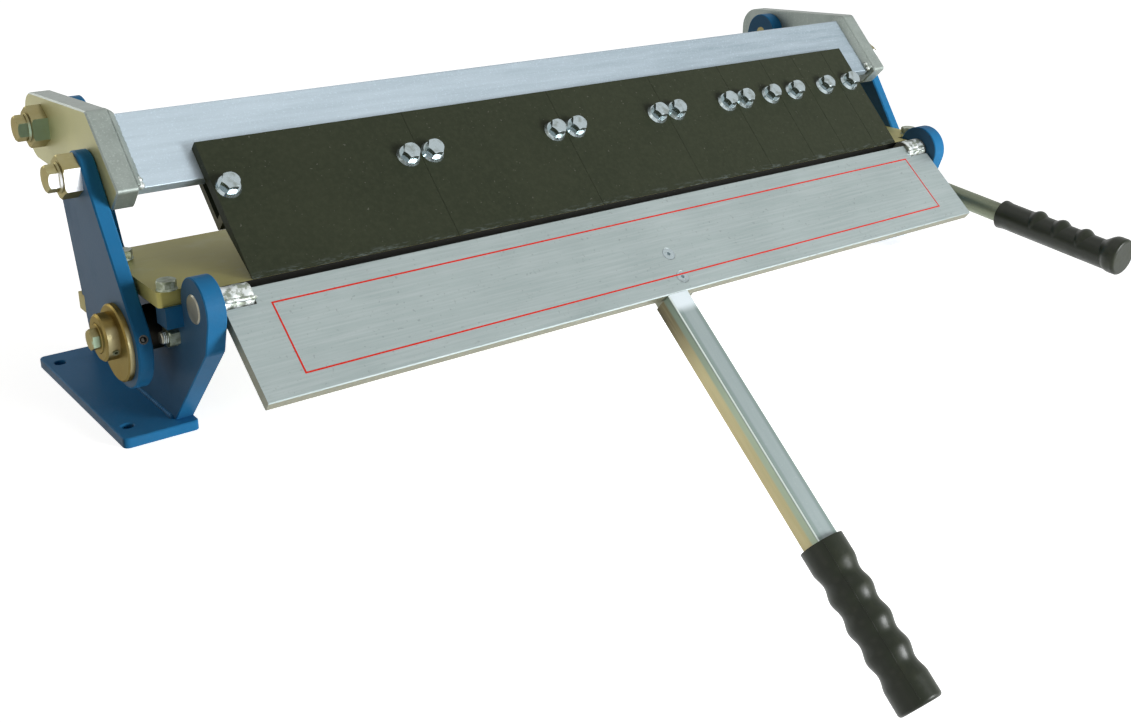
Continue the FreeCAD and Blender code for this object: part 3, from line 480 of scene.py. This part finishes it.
def handle_zinc():
    """Zinc square tube: fine streaks along it, and painted light on it: a green grey reflection band
    beside its corners, a painted highlight on the corners, a tan reflection low on its sides painted
    darker towards the leaf as shade, a green reflection high on them, and a painted highlight on its top
    where it meets the leaf."""
    f = Finish("handle_zinc")
    place = f.place()
    streak = f.noise(f.stretched((150, 9, 150), (LEAF_DROOP, 0, 0)), 1.0, 5.0, 0.65)
    frost = f.noise(place, 480.0, 3.0, 0.7)
    side = f.math("ABSOLUTE", f.along(f.facing(), (1, 0, 0)))
    cos, sin = math.cos(LEAF_DROOP), math.sin(LEAF_DROOP)
    down = f.along(place, (0, -cos, -sin)) + (HINGE_Y * cos + HINGE_Z * sin + LEAF_BEHIND - LEAF_WIDTH)
    rise = f.along(place, (0, -sin, cos)) + (HINGE_Y * sin - HINGE_Z * cos - LEAF_FACE)
    from_middle = f.math("ABSOLUTE", f.along(place, (1, 0, 0)) - HANDLE_X)
    # Painted reflection: a green grey band beside each corner.
    reflection_band = f.step(from_middle, HANDLE_SIZE / 2 - CORNER_REFLECTION_BAND, HANDLE_SIZE / 2 - 0.6 * CORNER_REFLECTION_BAND)
    colour = f.tint(streak, (0.265, 0.330, 0.328), (0.350, 0.405, 0.405))
    colour = f.tint(f.step(frost, 0.55, 0.75) * 0.35, colour, (0.46, 0.51, 0.52))
    colour = f.tint(reflection_band * 0.6, colour, (0.170, 0.235, 0.205))
    # Painted reflection and shade: the sides are tan low down, darkening towards the leaf, and green high
    # up.
    low = f.tint(f.step(down, 0.01, 0.10), (0.075, 0.060, 0.020), (0.48, 0.420, 0.220))
    low = f.tint(f.step(streak, 0.35, 0.7) * 0.4, low, (0.36, 0.31, 0.15))
    high = f.tint(f.step(down, 0.0, 0.16), (0.160, 0.215, 0.160), (0.330, 0.405, 0.290))
    film_and_painted_light = f.tint(f.step(rise, -0.44 * HANDLE_SIZE, -0.30 * HANDLE_SIZE), low, high)
    colour = f.tint(f.step(side, 0.86, 0.97), colour, film_and_painted_light)
    # Painted highlight: a pale line where the normal turns round the corners.
    corner = f.step(side, 0.30, 0.50) * (1 - f.step(side, 0.72, 0.88))
    colour = f.tint(corner * 0.9, colour, (0.86, 0.95, 0.90))
    # Painted highlight: the top turns bright where it meets the leaf.
    leaf_end_highlight = (1 - f.step(down, 0.014, 0.026)) * (1 - f.step(side, 0.3, 0.6))
    colour = f.tint(leaf_end_highlight * 0.85, colour, (0.80, 0.88, 0.92))
    return f.done(Base_Color=colour, Metallic=0.50, Roughness=0.34 + 0.16 * frost,
                  Normal=f.bump(streak + 0.4 * frost, 0.12, 0.0005))


def turned_zinc(name, warm, cool, front, shaded_within=0.0):
    """Passivated turnings and bolt heads: patchy tan passivation with turned rings, and a painted lit tone
    on the facets that look to the front. Nearer to the middle of the machine than the last argument they
    are painted dark as shade."""
    f = Finish(name)
    place = f.place()
    bloom = f.noise(place, 38.0, 3.0)
    rings = f.noise(f.stretched((30, 900, 900)), 1.0, 2.0)
    rub_and_glint = f.step(f.noise(place, 90.0, 5.0, 0.7), 0.50, 0.74)
    # Painted light: facets that look to the front take a lit tone, near white on the link tops.
    ahead = f.step(f.along(f.facing(), (0, -1, 0)), 0.72, 0.90)
    colour = f.node("ValToRGB", {"stops": [(0.34, warm), (0.66, cool)]}, {"Fac": bloom})
    colour = f.tint(rub_and_glint * 0.3, colour, tuple(1.6 * c for c in cool))
    colour = f.tint(ahead * (1 - 0.25 * rub_and_glint), colour, front)
    # Painted shade: nearer the middle than the given distance, the parts are tinted nearly black.
    outside = f.step(f.math("ABSOLUTE", f.along(place, (1, 0, 0))), shaded_within, shaded_within + 0.0004)
    colour = f.tint(outside, (0.020, 0.019, 0.016), colour)
    return f.done(Base_Color=colour, Metallic=0.80, Roughness=0.30 + 0.14 * bloom,
                  Specular_Tint=(0.70, 0.62, 0.42), Normal=f.bump(rings, 0.08, 0.0003))


def bright_plate():
    """Bright plated fasteners: soft dimples and dull spots."""
    f = Finish("bright_plate")
    dimple = f.noise(f.place(), 260.0, 2.0)
    dull = f.step(f.noise(f.place(), 130.0, 4.0), 0.48, 0.68)
    colour = f.tint(dull, (0.42, 0.49, 0.51), (0.26, 0.30, 0.29))
    return f.done(Base_Color=colour, Metallic=0.92, Roughness=0.17 + 0.2 * dull,
                  Normal=f.bump(dimple, 0.12, 0.0005))


def dull_plate():
    """Older zinc on bolts and nuts: olive grey, spotted."""
    f = Finish("dull_plate")
    spots = f.noise(f.place(), 160.0, 4.0, 0.65)
    colour = f.tint(f.step(spots, 0.38, 0.68), (0.175, 0.200, 0.130), (0.36, 0.40, 0.32))
    return f.done(Base_Color=colour, Metallic=0.75, Roughness=0.24 + 0.26 * spots,
                  Normal=f.bump(spots, 0.12, 0.0004))


def oiler_steel():
    """Ball oilers: dark polished cup and ball, a little tarnished."""
    f = Finish("oiler_steel")
    tarnish = f.noise(f.place(), 420.0, 3.0)
    colour = f.tint(tarnish, (0.030, 0.030, 0.028), (0.090, 0.090, 0.085))
    return f.done(Base_Color=colour, Metallic=0.90, Roughness=0.10 + 0.10 * tarnish)


def ground_steel():
    """Ground bar: fine circumferential lines and faint tan bloom."""
    f = Finish("ground_bar")
    lines = f.noise(f.stretched((2200, 40, 40)), 1.0, 2.0)
    bloom = f.noise(f.place(), 45.0, 4.0, 0.6)
    colour = f.tint(bloom, (0.17, 0.16, 0.11), (0.32, 0.32, 0.27))
    return f.done(Base_Color=colour, Metallic=0.80, Roughness=0.28 + 0.2 * bloom,
                  Normal=f.bump(lines, 0.08, 0.0003))


def blackened_steel(name, bare_and_highlit_sides):
    """Blackened bar: satin, greenish brown cloud, pale pin specks, bare rubs at the nose of the fingers
    that are also painted glints, and on the clamp plates sides left as sawn, pale tan that is also a
    painted edge highlight, by the amount given second."""
    f = Finish(name)
    place = f.place()
    cloud = f.noise(place, 13.0, 4.0, 0.6)
    grain = f.noise(f.stretched((500, 160, 160)), 1.0, 3.0)
    mottle = f.noise(place, 190.0, 4.0, 0.7)
    pin = f.step(f.noise(place, 330.0, 1.0), 0.735, 0.78)
    # Painted glints: pale patches low at the nose of the fingers, also drawn as bare rubs.
    low = 1 - f.step(f.along(place, (0, 0, 1)), BED_TOP + 0.0005, BED_TOP + 0.006)
    rub_and_glint = low * f.step(f.noise(f.stretched((70, 300, 300)), 1.0, 5.0, 0.7), 0.50, 0.64)
    colour = f.tint(cloud, (0.015, 0.020, 0.009), (0.028, 0.033, 0.017))
    colour = f.tint(f.step(mottle, 0.35, 0.75) * 0.5, colour, (0.038, 0.044, 0.024))
    colour = f.tint(pin * 0.4, colour, (0.16, 0.16, 0.13))
    colour = f.tint(rub_and_glint * 0.5, colour, (0.17, 0.20, 0.19))
    # Sawn sides: bare pale tan, which is also a painted highlight on the edges.
    sides = f.step(f.math("ABSOLUTE", f.along(f.facing(), (1, 0, 0))), 0.80, 0.95)
    colour = f.tint(sides * bare_and_highlit_sides, colour, (0.26, 0.24, 0.16))
    return f.done(Base_Color=colour, Metallic=0.1 + 0.5 * rub_and_glint, Roughness=0.50 + 0.14 * grain - 0.1 * rub_and_glint,
                  Specular_IOR_Level=0.17, Normal=f.bump(grain + mottle, 0.18, 0.0005))


def moulded_grip():
    """Glossy moulded grip: soft unevenness, fine skin texture and greyish handling marks."""
    f = Finish("moulded_grip")
    place = f.place()
    soft = f.noise(place, 60.0, 2.0)
    skin = f.noise(place, 900.0, 2.0)
    worn = f.step(f.noise(place, 34.0, 5.0, 0.65), 0.50, 0.72)
    colour = f.tint(worn, (0.0075, 0.0115, 0.0035), (0.017, 0.021, 0.009))
    under = f.bump(soft, 0.22, 0.002)
    return f.done(Base_Color=colour, Roughness=0.36 + 0.14 * worn, Specular_IOR_Level=0.30,
                  Normal=f.bump(skin, 0.10, 0.0003, under))


def red_ink():
    """Screen-printed red line, slightly thin in places."""
    f = Finish("red_ink")
    thin = f.step(f.noise(f.place(), 210.0, 4.0), 0.58, 0.75)
    colour = f.tint(thin * 0.3, (0.66, 0.022, 0.010), (0.60, 0.16, 0.12))
    return f.done(Base_Color=colour, Roughness=0.45 + 0.1 * thin, Specular_IOR_Level=0.25)


def bright_weld():
    """Cleaned weld metal: bright runs between grey green scale."""
    f = Finish("bright_weld")
    cloud = f.noise(f.place(), 150.0, 4.0, 0.6)
    bright = f.step(cloud, 0.42, 0.58)
    colour = f.tint(bright, (0.24, 0.27, 0.22), (0.70, 0.74, 0.73))
    return f.done(Base_Color=colour, Metallic=0.60, Roughness=0.34 + 0.2 * cloud,
                  Normal=f.bump(cloud, 0.3, 0.0008))


BLUE = blue_enamel()
LEAF_STEEL = leaf_steel()
BED_STEEL = bed_steel()
# The last colour of each zinc is its painted warm reflection on outward faces; the beam's 0.35 is its
# painted pale reflection to the left.
BEAM_ZINC = streaked_zinc("beam_zinc", (math.radians(45), 0, 0), (9, 150, 150),
                          (0.205, 0.275, 0.315), (0.51, 0.595, 0.66), (0.60, 0.58, 0.28), 0.35)
PLATE_ZINC = streaked_zinc("end_plate_zinc", (0, 0, 0), (60, 60, 12),
                           (0.190, 0.225, 0.200), (0.375, 0.420, 0.395), (0.56, 0.535, 0.245))
HANDLE_ZINC = handle_zinc()
LEVER_ZINC = streaked_zinc("lever_zinc", (LEVER_SLOPE, 0, 0), (150, 9, 150),
                           (0.14, 0.16, 0.10), (0.25, 0.28, 0.20), (0.30, 0.29, 0.14))
# The last colour of each is its painted lit tone on front facets; the link tops' near white is a painted
# highlight.
BUSH_ZINC = turned_zinc("bush_zinc", (0.215, 0.185, 0.085), (0.270, 0.260, 0.150), (0.31, 0.41, 0.30))
TOP_ZINC = turned_zinc("link_top_zinc", (0.235, 0.205, 0.095), (0.290, 0.275, 0.160), (0.96, 0.98, 1.0))
DISC_ZINC = turned_zinc("disc_zinc", (0.150, 0.105, 0.026), (0.180, 0.140, 0.050), (0.33, 0.29, 0.16),
                        DISC_INNER)
BRIGHT = bright_plate()
DULL = dull_plate()
OILER = oiler_steel()
GROUND = ground_steel()
BLACKENED = blackened_steel("blackened_fingers", 0.0)
# The clamps' sawn sides are pale tan, also a painted edge highlight.
SAWN_AND_HIGHLIT = blackened_steel("blackened_clamps", 0.75)
GRIP = moulded_grip()
INK = red_ink()
WELD = bright_weld()


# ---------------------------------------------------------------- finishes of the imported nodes


def finish_nodes():
    """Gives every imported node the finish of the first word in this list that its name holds."""
    by_word = (
        ("finger_bolts", BRIGHT), ("finger_clamp", SAWN_AND_HIGHLIT), ("finger", BLACKENED), ("foot_plate", BLUE),
        ("side_plate", BLUE), ("bed_lugs", BLUE), ("bed_bolts", DULL), ("link_top", TOP_ZINC),
        ("pivot_bush", BUSH_ZINC), ("rear_pivot_bolts", BUSH_ZINC), ("link", BLUE),
        ("end_plate", PLATE_ZINC), ("clamp_beam", BEAM_ZINC), ("eccentric", DISC_ZINC),
        ("collar", DISC_ZINC), ("hinge_pin", GROUND),
        ("oiler", OILER), ("tie_rod", GROUND), ("tie_bar", BUSH_ZINC), ("clamp_shaft", GROUND),
        ("bolts", BRIGHT), ("lock_screw", DULL), ("screw", BRIGHT), ("tie_nuts", DULL),
        ("bed_plate", BED_STEEL), ("folding_leaf", LEAF_STEEL), ("handle_root", LEAF_STEEL),
        ("handle_tube", HANDLE_ZINC), ("lever_tube", LEVER_ZINC), ("grip", GRIP), ("hub", BLUE),
    )
    for name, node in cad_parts.items():
        finish = next(finish for word, finish in by_word if word in name)
        node.data.materials.clear()
        node.data.materials.append(finish)


# ---------------------------------------------------------------- pieces beside the nodes


def fillet_piece(name, paths, leg, body, slot, finish):
    """Ground fillet in the corner of an end plate and the beam. Along the path the section runs from a
    height h on the plate to a width w on the beam, with q from 0 to a quarter turn:
    h = leg * cos q * (1 - sin(2 q) / 6) and w = leg * sin q * (1 - sin(2 q) / 6). The leg is rippled by
    4 and 3 percent in two waves, and the section is closed a little inside both pieces."""
    quarter = np.linspace(0, math.pi / 2, 9)
    pull = 1 - np.sin(2 * quarter) / 6
    rise = np.concatenate([np.cos(quarter) * pull, [-0.08, -0.08]])
    reach = np.concatenate([np.sin(quarter) * pull, [1.0, -0.08]])
    shape = Shape()
    for inner, side, corners, normals in paths:
        corners, normals = np.asarray(corners, float), np.asarray(normals, float)
        runs = np.concatenate([[0], np.cumsum(np.linalg.norm(np.diff(corners, axis=0), axis=1))])
        along = np.linspace(0, runs[-1], 90)
        base = np.stack([np.interp(along, runs, corners[:, k]) for k in range(2)], 1)
        way = np.stack([np.interp(along, runs, normals[:, k]) for k in range(2)], 1)
        wave = 0.04 * np.sin(TAU * along / 0.0061) + 0.03 * np.sin(TAU * along / 0.021)
        grow = leg * (1 + wave)[:, None]
        spot = base[:, None] + way[:, None] * (grow * rise)[..., None]
        shape.add(np.stack([inner - side * grow * reach, *slope_point(spot[..., 0], spot[..., 1])], -1))
    return shape.piece(name, body, slot, finish)


def beam_welds():
    """Fillets from the beam's lower edge over its corner to its rear, and beads at its lower front
    corner."""
    front, corner, rear = -FINGER_THICK, 0.001, 0.004 - (FINGER_THICK + BEAM_LEG)
    paths, beads = [], []
    for side, plate in ((LEFT, "left_end_plate"), (RIGHT, "right_end_plate")):
        inner = inner_face(plate, side)
        corners = ((BEAM_BOTTOM, front), (BEAM_TOP - corner, front), (BEAM_TOP, front - corner),
                   (BEAM_TOP, rear))
        paths.append((inner, side, corners, ((0, 1), (0, 1), (1, 0), (1, 0))))
        for step in CORNER_BEAD_STEPS:
            beads.append([(inner - side * x,
                           *slope_point(BEAM_BOTTOM + step, front + CORNER_BEAD_OUT - x / 3))
                          for x in CORNER_BEAD_REACH])
    fillet_piece("beam_fillets", paths, FILLET_LEG, "clamp_beam_assembly", "galvanised", PLATE_ZINC)
    weld_piece("beam_weld_beads", beads, CORNER_BEAD, "clamp_beam_assembly", "galvanised", WELD)


def foot_welds():
    """Painted fillet welds where the outer face of each stand meets the top of its foot."""
    lines = []
    for side, end in ((LEFT, "left"), (RIGHT, "right")):
        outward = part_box(end + "_side_plate")[0 if side == LEFT else 1].x
        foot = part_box(end + "_foot_plate")[1]
        lines.append([(outward, BEND_Y + FOOT_BEAD_FROM, foot.z),
                      (outward, foot.y - FOOT_BEAD_SHORT, foot.z)])
    weld_piece("foot_welds", lines, FOOT_BEAD, "stand_frame", "blue_paint", BLUE, ripple=FOOT_BEAD_RIPPLE)


def hinge_welds():
    """Weld metal built up over each hinge pin where it lies in the leaf's notch. At a place x and angle a
    round the pin its radius is pin + 0.2 mm + 1.1 mm * front(a) * lumps(x, a), with front rising from 0
    behind the pin to 1 before it and lumps the mean of two slanted sine waves. A bead lies in the corner
    between pin and leaf."""
    turn = circle(72)
    front = np.clip(0.5 - 0.9 * np.cos(turn) + 0.5 * np.sin(turn), 0, 1)
    shape, lines = Shape(), []
    for side, pin in ((LEFT, "left_hinge_pin"), (RIGHT, "right_hinge_pin")):
        low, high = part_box(pin)
        inner, radius = inner_face(pin, side), (high.z - low.z) / 2
        x = np.linspace(LEAF_HALF - PIN_OVERRUN, abs(inner) + PIN_OVERRUN, 60)[:, None]
        lumps = 0.5 + 0.25 * np.sin(TAU * x / 0.0127 + 3 * np.cos(turn)) \
            + 0.25 * np.sin(TAU * x / 0.0212 - 2 * np.sin(2 * turn) + 1.3)
        shape.add(rings_along(0, HINGE_Y, HINGE_Z, side, x[:, 0],
                              radius + PIN_SKIN + PIN_BUILD * front * lumps, turn))
        y = HINGE_Y + radius * math.cos(PIN_BEAD_ANGLE)
        z = HINGE_Z + radius * math.sin(PIN_BEAD_ANGLE)
        lines.append([(side * (LEAF_HALF - 0.001), y, z), (inner - side * 0.003, y - 0.001, z - 0.001)])
    shape.piece("hinge_pin_build_up", "folding_leaf_assembly", "ground_steel", WELD)
    weld_piece("hinge_pin_beads", lines, PIN_BEAD, "folding_leaf_assembly", "ground_steel", WELD,
               ripple=PIN_BEAD_RIPPLE)


def hexagon_bolts(name, heads, body, slot, finish):
    """Hexagon bolts along X with their shanks. At a station s and angle a the radius is the shank's, or
    for the head across / 2 / cos(a within its sixth), held below a limit that eases both ends."""
    turn = circle(48)
    sixth = (turn + math.pi / 6) % (math.pi / 3) - math.pi / 6
    shape = Shape()
    for x, y, z, side, across, high, shank, length in heads:
        corner = across / math.sqrt(3)
        stations = np.array([-length, 0.001 - length, 0, 0, 0.0006, 0.86 * high, high])
        limit = np.array([0.9 * shank, shank, shank, 0.97 * corner, corner, corner, 0.465 * across])
        radii = np.minimum(limit[:, None], np.where(stations[:, None] < 0, 1, across / 2 / np.cos(sixth)))
        shape.add(rings_along(x, y, z, side, stations, radii, turn))
    return shape.piece(name, body, slot, finish, smooth=False)


def shaft_end_bolts():
    """The shaft's end bolts, each standing proud on a thick turned washer that fills its recess. The
    washer is a hoop of bore and outer radius along its thickness, with its outer rim eased."""
    y, z = axis_of("clamp_shaft")
    stations = (-WASHER_DEEP, -WASHER_DEEP, WASHER_PROUD - WASHER_EASE, WASHER_PROUD, WASHER_PROUD)
    radii = np.array([WASHER_BORE, WASHER_RADIUS, WASHER_RADIUS, WASHER_RADIUS - WASHER_EASE,
                      WASHER_BORE])[:, None]
    washers, heads = Shape(), []
    for x, side in ((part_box("shaft_collar")[0].x, LEFT), (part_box("lever_hub")[1].x, RIGHT)):
        washers.add(rings_along(x, y, z, side, stations, radii, circle(64)), hoop=True)
        heads.append((x + side * WASHER_PROUD, y, z, side, END_BOLT_ACROSS, END_BOLT_HEAD, END_BOLT_SHANK,
                      WASHER_DEEP + END_BOLT_PAST_WASHER))
    washers.piece("shaft_end_washers", "clamp_lever", "passivated", DISC_ZINC, smooth=False)
    bolts = hexagon_bolts("shaft_end_bolts_proud", heads, "clamp_lever", "bright_fastener", BUSH_ZINC)
    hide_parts("shaft_end_bolts")


def border_line():
    """Printed border on the leaf: a hoop of four sections (outer and inner edge, above and below the
    leaf's face) at each of the four corners, raised by the ink's thickness."""
    half = LEAF_HALF - LINE_SIDE
    grow = np.array([0, LINE_WIDTH, LINE_WIDTH, 0])[:, None]
    out = np.array([LINE_THICK, LINE_THICK, -LINE_THICK, -LINE_THICK])[:, None]
    x = np.array([-1, 1, 1, -1]) * (half - grow)
    down = np.array([LINE_TOP, LINE_TOP, LINE_LOW, LINE_LOW]) + np.array([1, 1, -1, -1]) * grow
    shape = Shape()
    shape.add(np.stack(leaf_point(x, down, out + 0 * x), -1), hoop=True)
    shape.piece("leaf_border_line", "folding_leaf_assembly", "plated_plate", INK, smooth=False)


def wave_radius(along):
    """Handle grip radius: mean + wave * cos(tau * n), with n the waves passed since the first crest,
    held at its ends."""
    first_crest = GRIP_FIRST_VALLEY - GRIP_PITCH / 2
    waves = np.clip((along - first_crest) / GRIP_PITCH, 0, GRIP_VALLEYS)
    return GRIP_MEAN + GRIP_WAVE * np.cos(TAU * waves)


def grip_seams():
    """Mould lines on the handle grip: a thin rope that follows its radius at two opposite angles."""
    along = np.linspace(0.001, GRIP_LENGTH - 0.006, 120)
    radius = wave_radius(along) - SEAM_SINK
    shape = Shape()
    for turn in SEAM_ANGLES:
        path = np.stack(leaf_point(HANDLE_X + radius * math.cos(turn), LEAF_WIDTH + GRIP_FROM + along,
                                   radius * math.sin(turn) - HANDLE_SIZE / 2), 1)
        shape.add(rope(path, np.full(len(along), SEAM_RADIUS), 6))
    shape.piece("handle_grip_mould_lines", "folding_leaf_assembly", "black_grip", GRIP)


def tie_threads():
    """Threads on the tips of the front tie rod, outside its nuts."""
    tip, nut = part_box("front_tie_rod")[1].x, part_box("tie_nuts")[1].x
    starts = [(side * nut, *axis_of("front_tie_rod"), side) for side in (LEFT, RIGHT)]
    thread_piece("tie_rod_threads", starts, tip - nut - TIE_THREAD_CLEAR, TIE_THREAD_RADIUS,
                 TIE_THREAD_PITCH, "stand_frame", "ground_steel", BRIGHT)


# ---------------------------------------------------------------- studio


def shown_to_camera(f):
    """1 for camera, glossy and transmission rays, else 0."""
    path = [f.node("LightPath", output=name) for name in
            ("Is Camera Ray", "Is Glossy Ray", "Is Transmission Ray")]
    return f.math("MAXIMUM", f.math("MAXIMUM", path[0], path[1]), path[2])


def pale_floor():
    """Floor and bench block: pale and matt. Where it is seen it also glows, by FLOOR_GLOW near the machine
    and rising to 1 at 4 m from it, which lifts it towards white."""
    f = Finish("pale_floor")
    away = f.node("VectorMath", {"operation": "LENGTH"}, {0: f.place()}, output=1)
    lift = f.tint(f.step(away, 0.8, 4.0), (FLOOR_GLOW,) * 3, (1.0, 1.0, 1.0))
    glow = f.tint(shown_to_camera(f), (0, 0, 0), lift)
    return f.done(Base_Color=(0.80, 0.80, 0.80), Roughness=0.9, Specular_IOR_Level=0.0,
                  Emission_Color=glow, Emission_Strength=1.0)


def stage_block(name, low, high, finish):
    """Plain box between two corners, as a piece of the studio."""
    x, y, z = zip(low, high)
    points = [(x[i], y[j], z[k]) for i in (0, 1) for j in (0, 1) for k in (0, 1)]
    faces = [(0, 1, 3, 2), (4, 6, 7, 5), (0, 4, 5, 1), (2, 3, 7, 6), (0, 2, 6, 4), (1, 5, 7, 3)]
    mesh = bpy.data.meshes.new(name)
    mesh.from_pydata(points, [], faces)
    mesh.materials.append(finish)
    block = bpy.data.objects.new(name, mesh)
    bpy.context.scene.collection.objects.link(block)


def studio():
    """A pale floor, a pale block under the feet as the bench, soft lamps and a white surround."""
    floor = pale_floor()
    stage_block("bench_block", (-0.72, -0.150, GROUND_TOP), (0.72, 0.260, -UNDER_FEET), floor)
    stage_block("floor", (-FLOOR_HALF, -FLOOR_HALF, GROUND_TOP - GROUND_THICK),
                (FLOOR_HALF, FLOOR_HALF, GROUND_TOP), floor)
    lamps = (
        ("window_lamp", (1.6, -3.4, 0.85), (0.0, -0.1, 0.15), 1.3, 155, (0.97, 0.99, 1.0)),
        ("ceiling_lamp", (-0.3, 0.3, 3.0), (0, 0, 0.1), 2.2, 9, (1.0, 0.98, 0.94)),
        ("rear_lamp", (-1.6, 2.9, 1.5), (0, 0, 0.15), 1.6, 26, (1.0, 0.98, 0.95)),
        ("left_lamp", (-3.0, -0.5, 0.9), (-0.4, 0, 0.15), 1.5, 6, (1.0, 0.94, 0.84)),
    )
    for name, place, aim, size, power, colour in lamps:
        light = bpy.data.lights.new(name, "AREA")
        light.shape = "SQUARE"
        light.size = size
        light.energy = power
        light.color = colour
        lamp = bpy.data.objects.new(name, light)
        bpy.context.scene.collection.objects.link(lamp)
        way = Matrix.Translation(place).to_translation() - Matrix.Translation(aim).to_translation()
        lamp.location = place
        lamp.rotation_euler = way.to_track_quat("Z", "Y").to_euler()
    world = bpy.data.worlds.new("surround")
    f = Finish("surround", world)
    seen = shown_to_camera(f)
    background = f.tree.nodes["Background"]
    f.plug(background.inputs["Color"], (1, 1, 1))
    f.plug(background.inputs["Strength"], seen * 0.93 + 0.07)
    bpy.context.scene.world = world


def camera():
    """Camera at the photograph's place: heading from yaw and pitch, turned by a small roll."""
    yaw, down, roll = CAMERA_YAW, CAMERA_DOWN, CAMERA_ROLL
    ahead = np.array([math.cos(down) * math.sin(yaw), math.cos(down) * math.cos(yaw), -math.sin(down)])
    level = np.cross(ahead, (0, 0, 1))
    level /= np.linalg.norm(level)
    rise = np.cross(level, ahead)
    right = math.cos(roll) * level + math.sin(roll) * rise
    up = math.cos(roll) * rise - math.sin(roll) * level
    data = bpy.data.cameras.new("camera")
    data.sensor_fit = "HORIZONTAL"
    data.sensor_width = CAMERA_SENSOR
    data.lens = CAMERA_LENS
    data.shift_x, data.shift_y = CAMERA_SHIFT
    data.clip_start, data.clip_end = 0.05, 60
    lens = bpy.data.objects.new("camera", data)
    bpy.context.scene.collection.objects.link(lens)
    turn = Matrix([[right[k], up[k], -ahead[k]] for k in range(3)])
    lens.matrix_world = Matrix.Translation(CAMERA_AT) @ turn.to_4x4()
    bpy.context.scene.camera = lens


camera()
finish_nodes()
beam_welds()
foot_welds()
hinge_welds()
shaft_end_bolts()
border_line()
grip_seams()
tie_threads()
studio()
bpy.context.scene.view_settings.view_transform = "Standard"
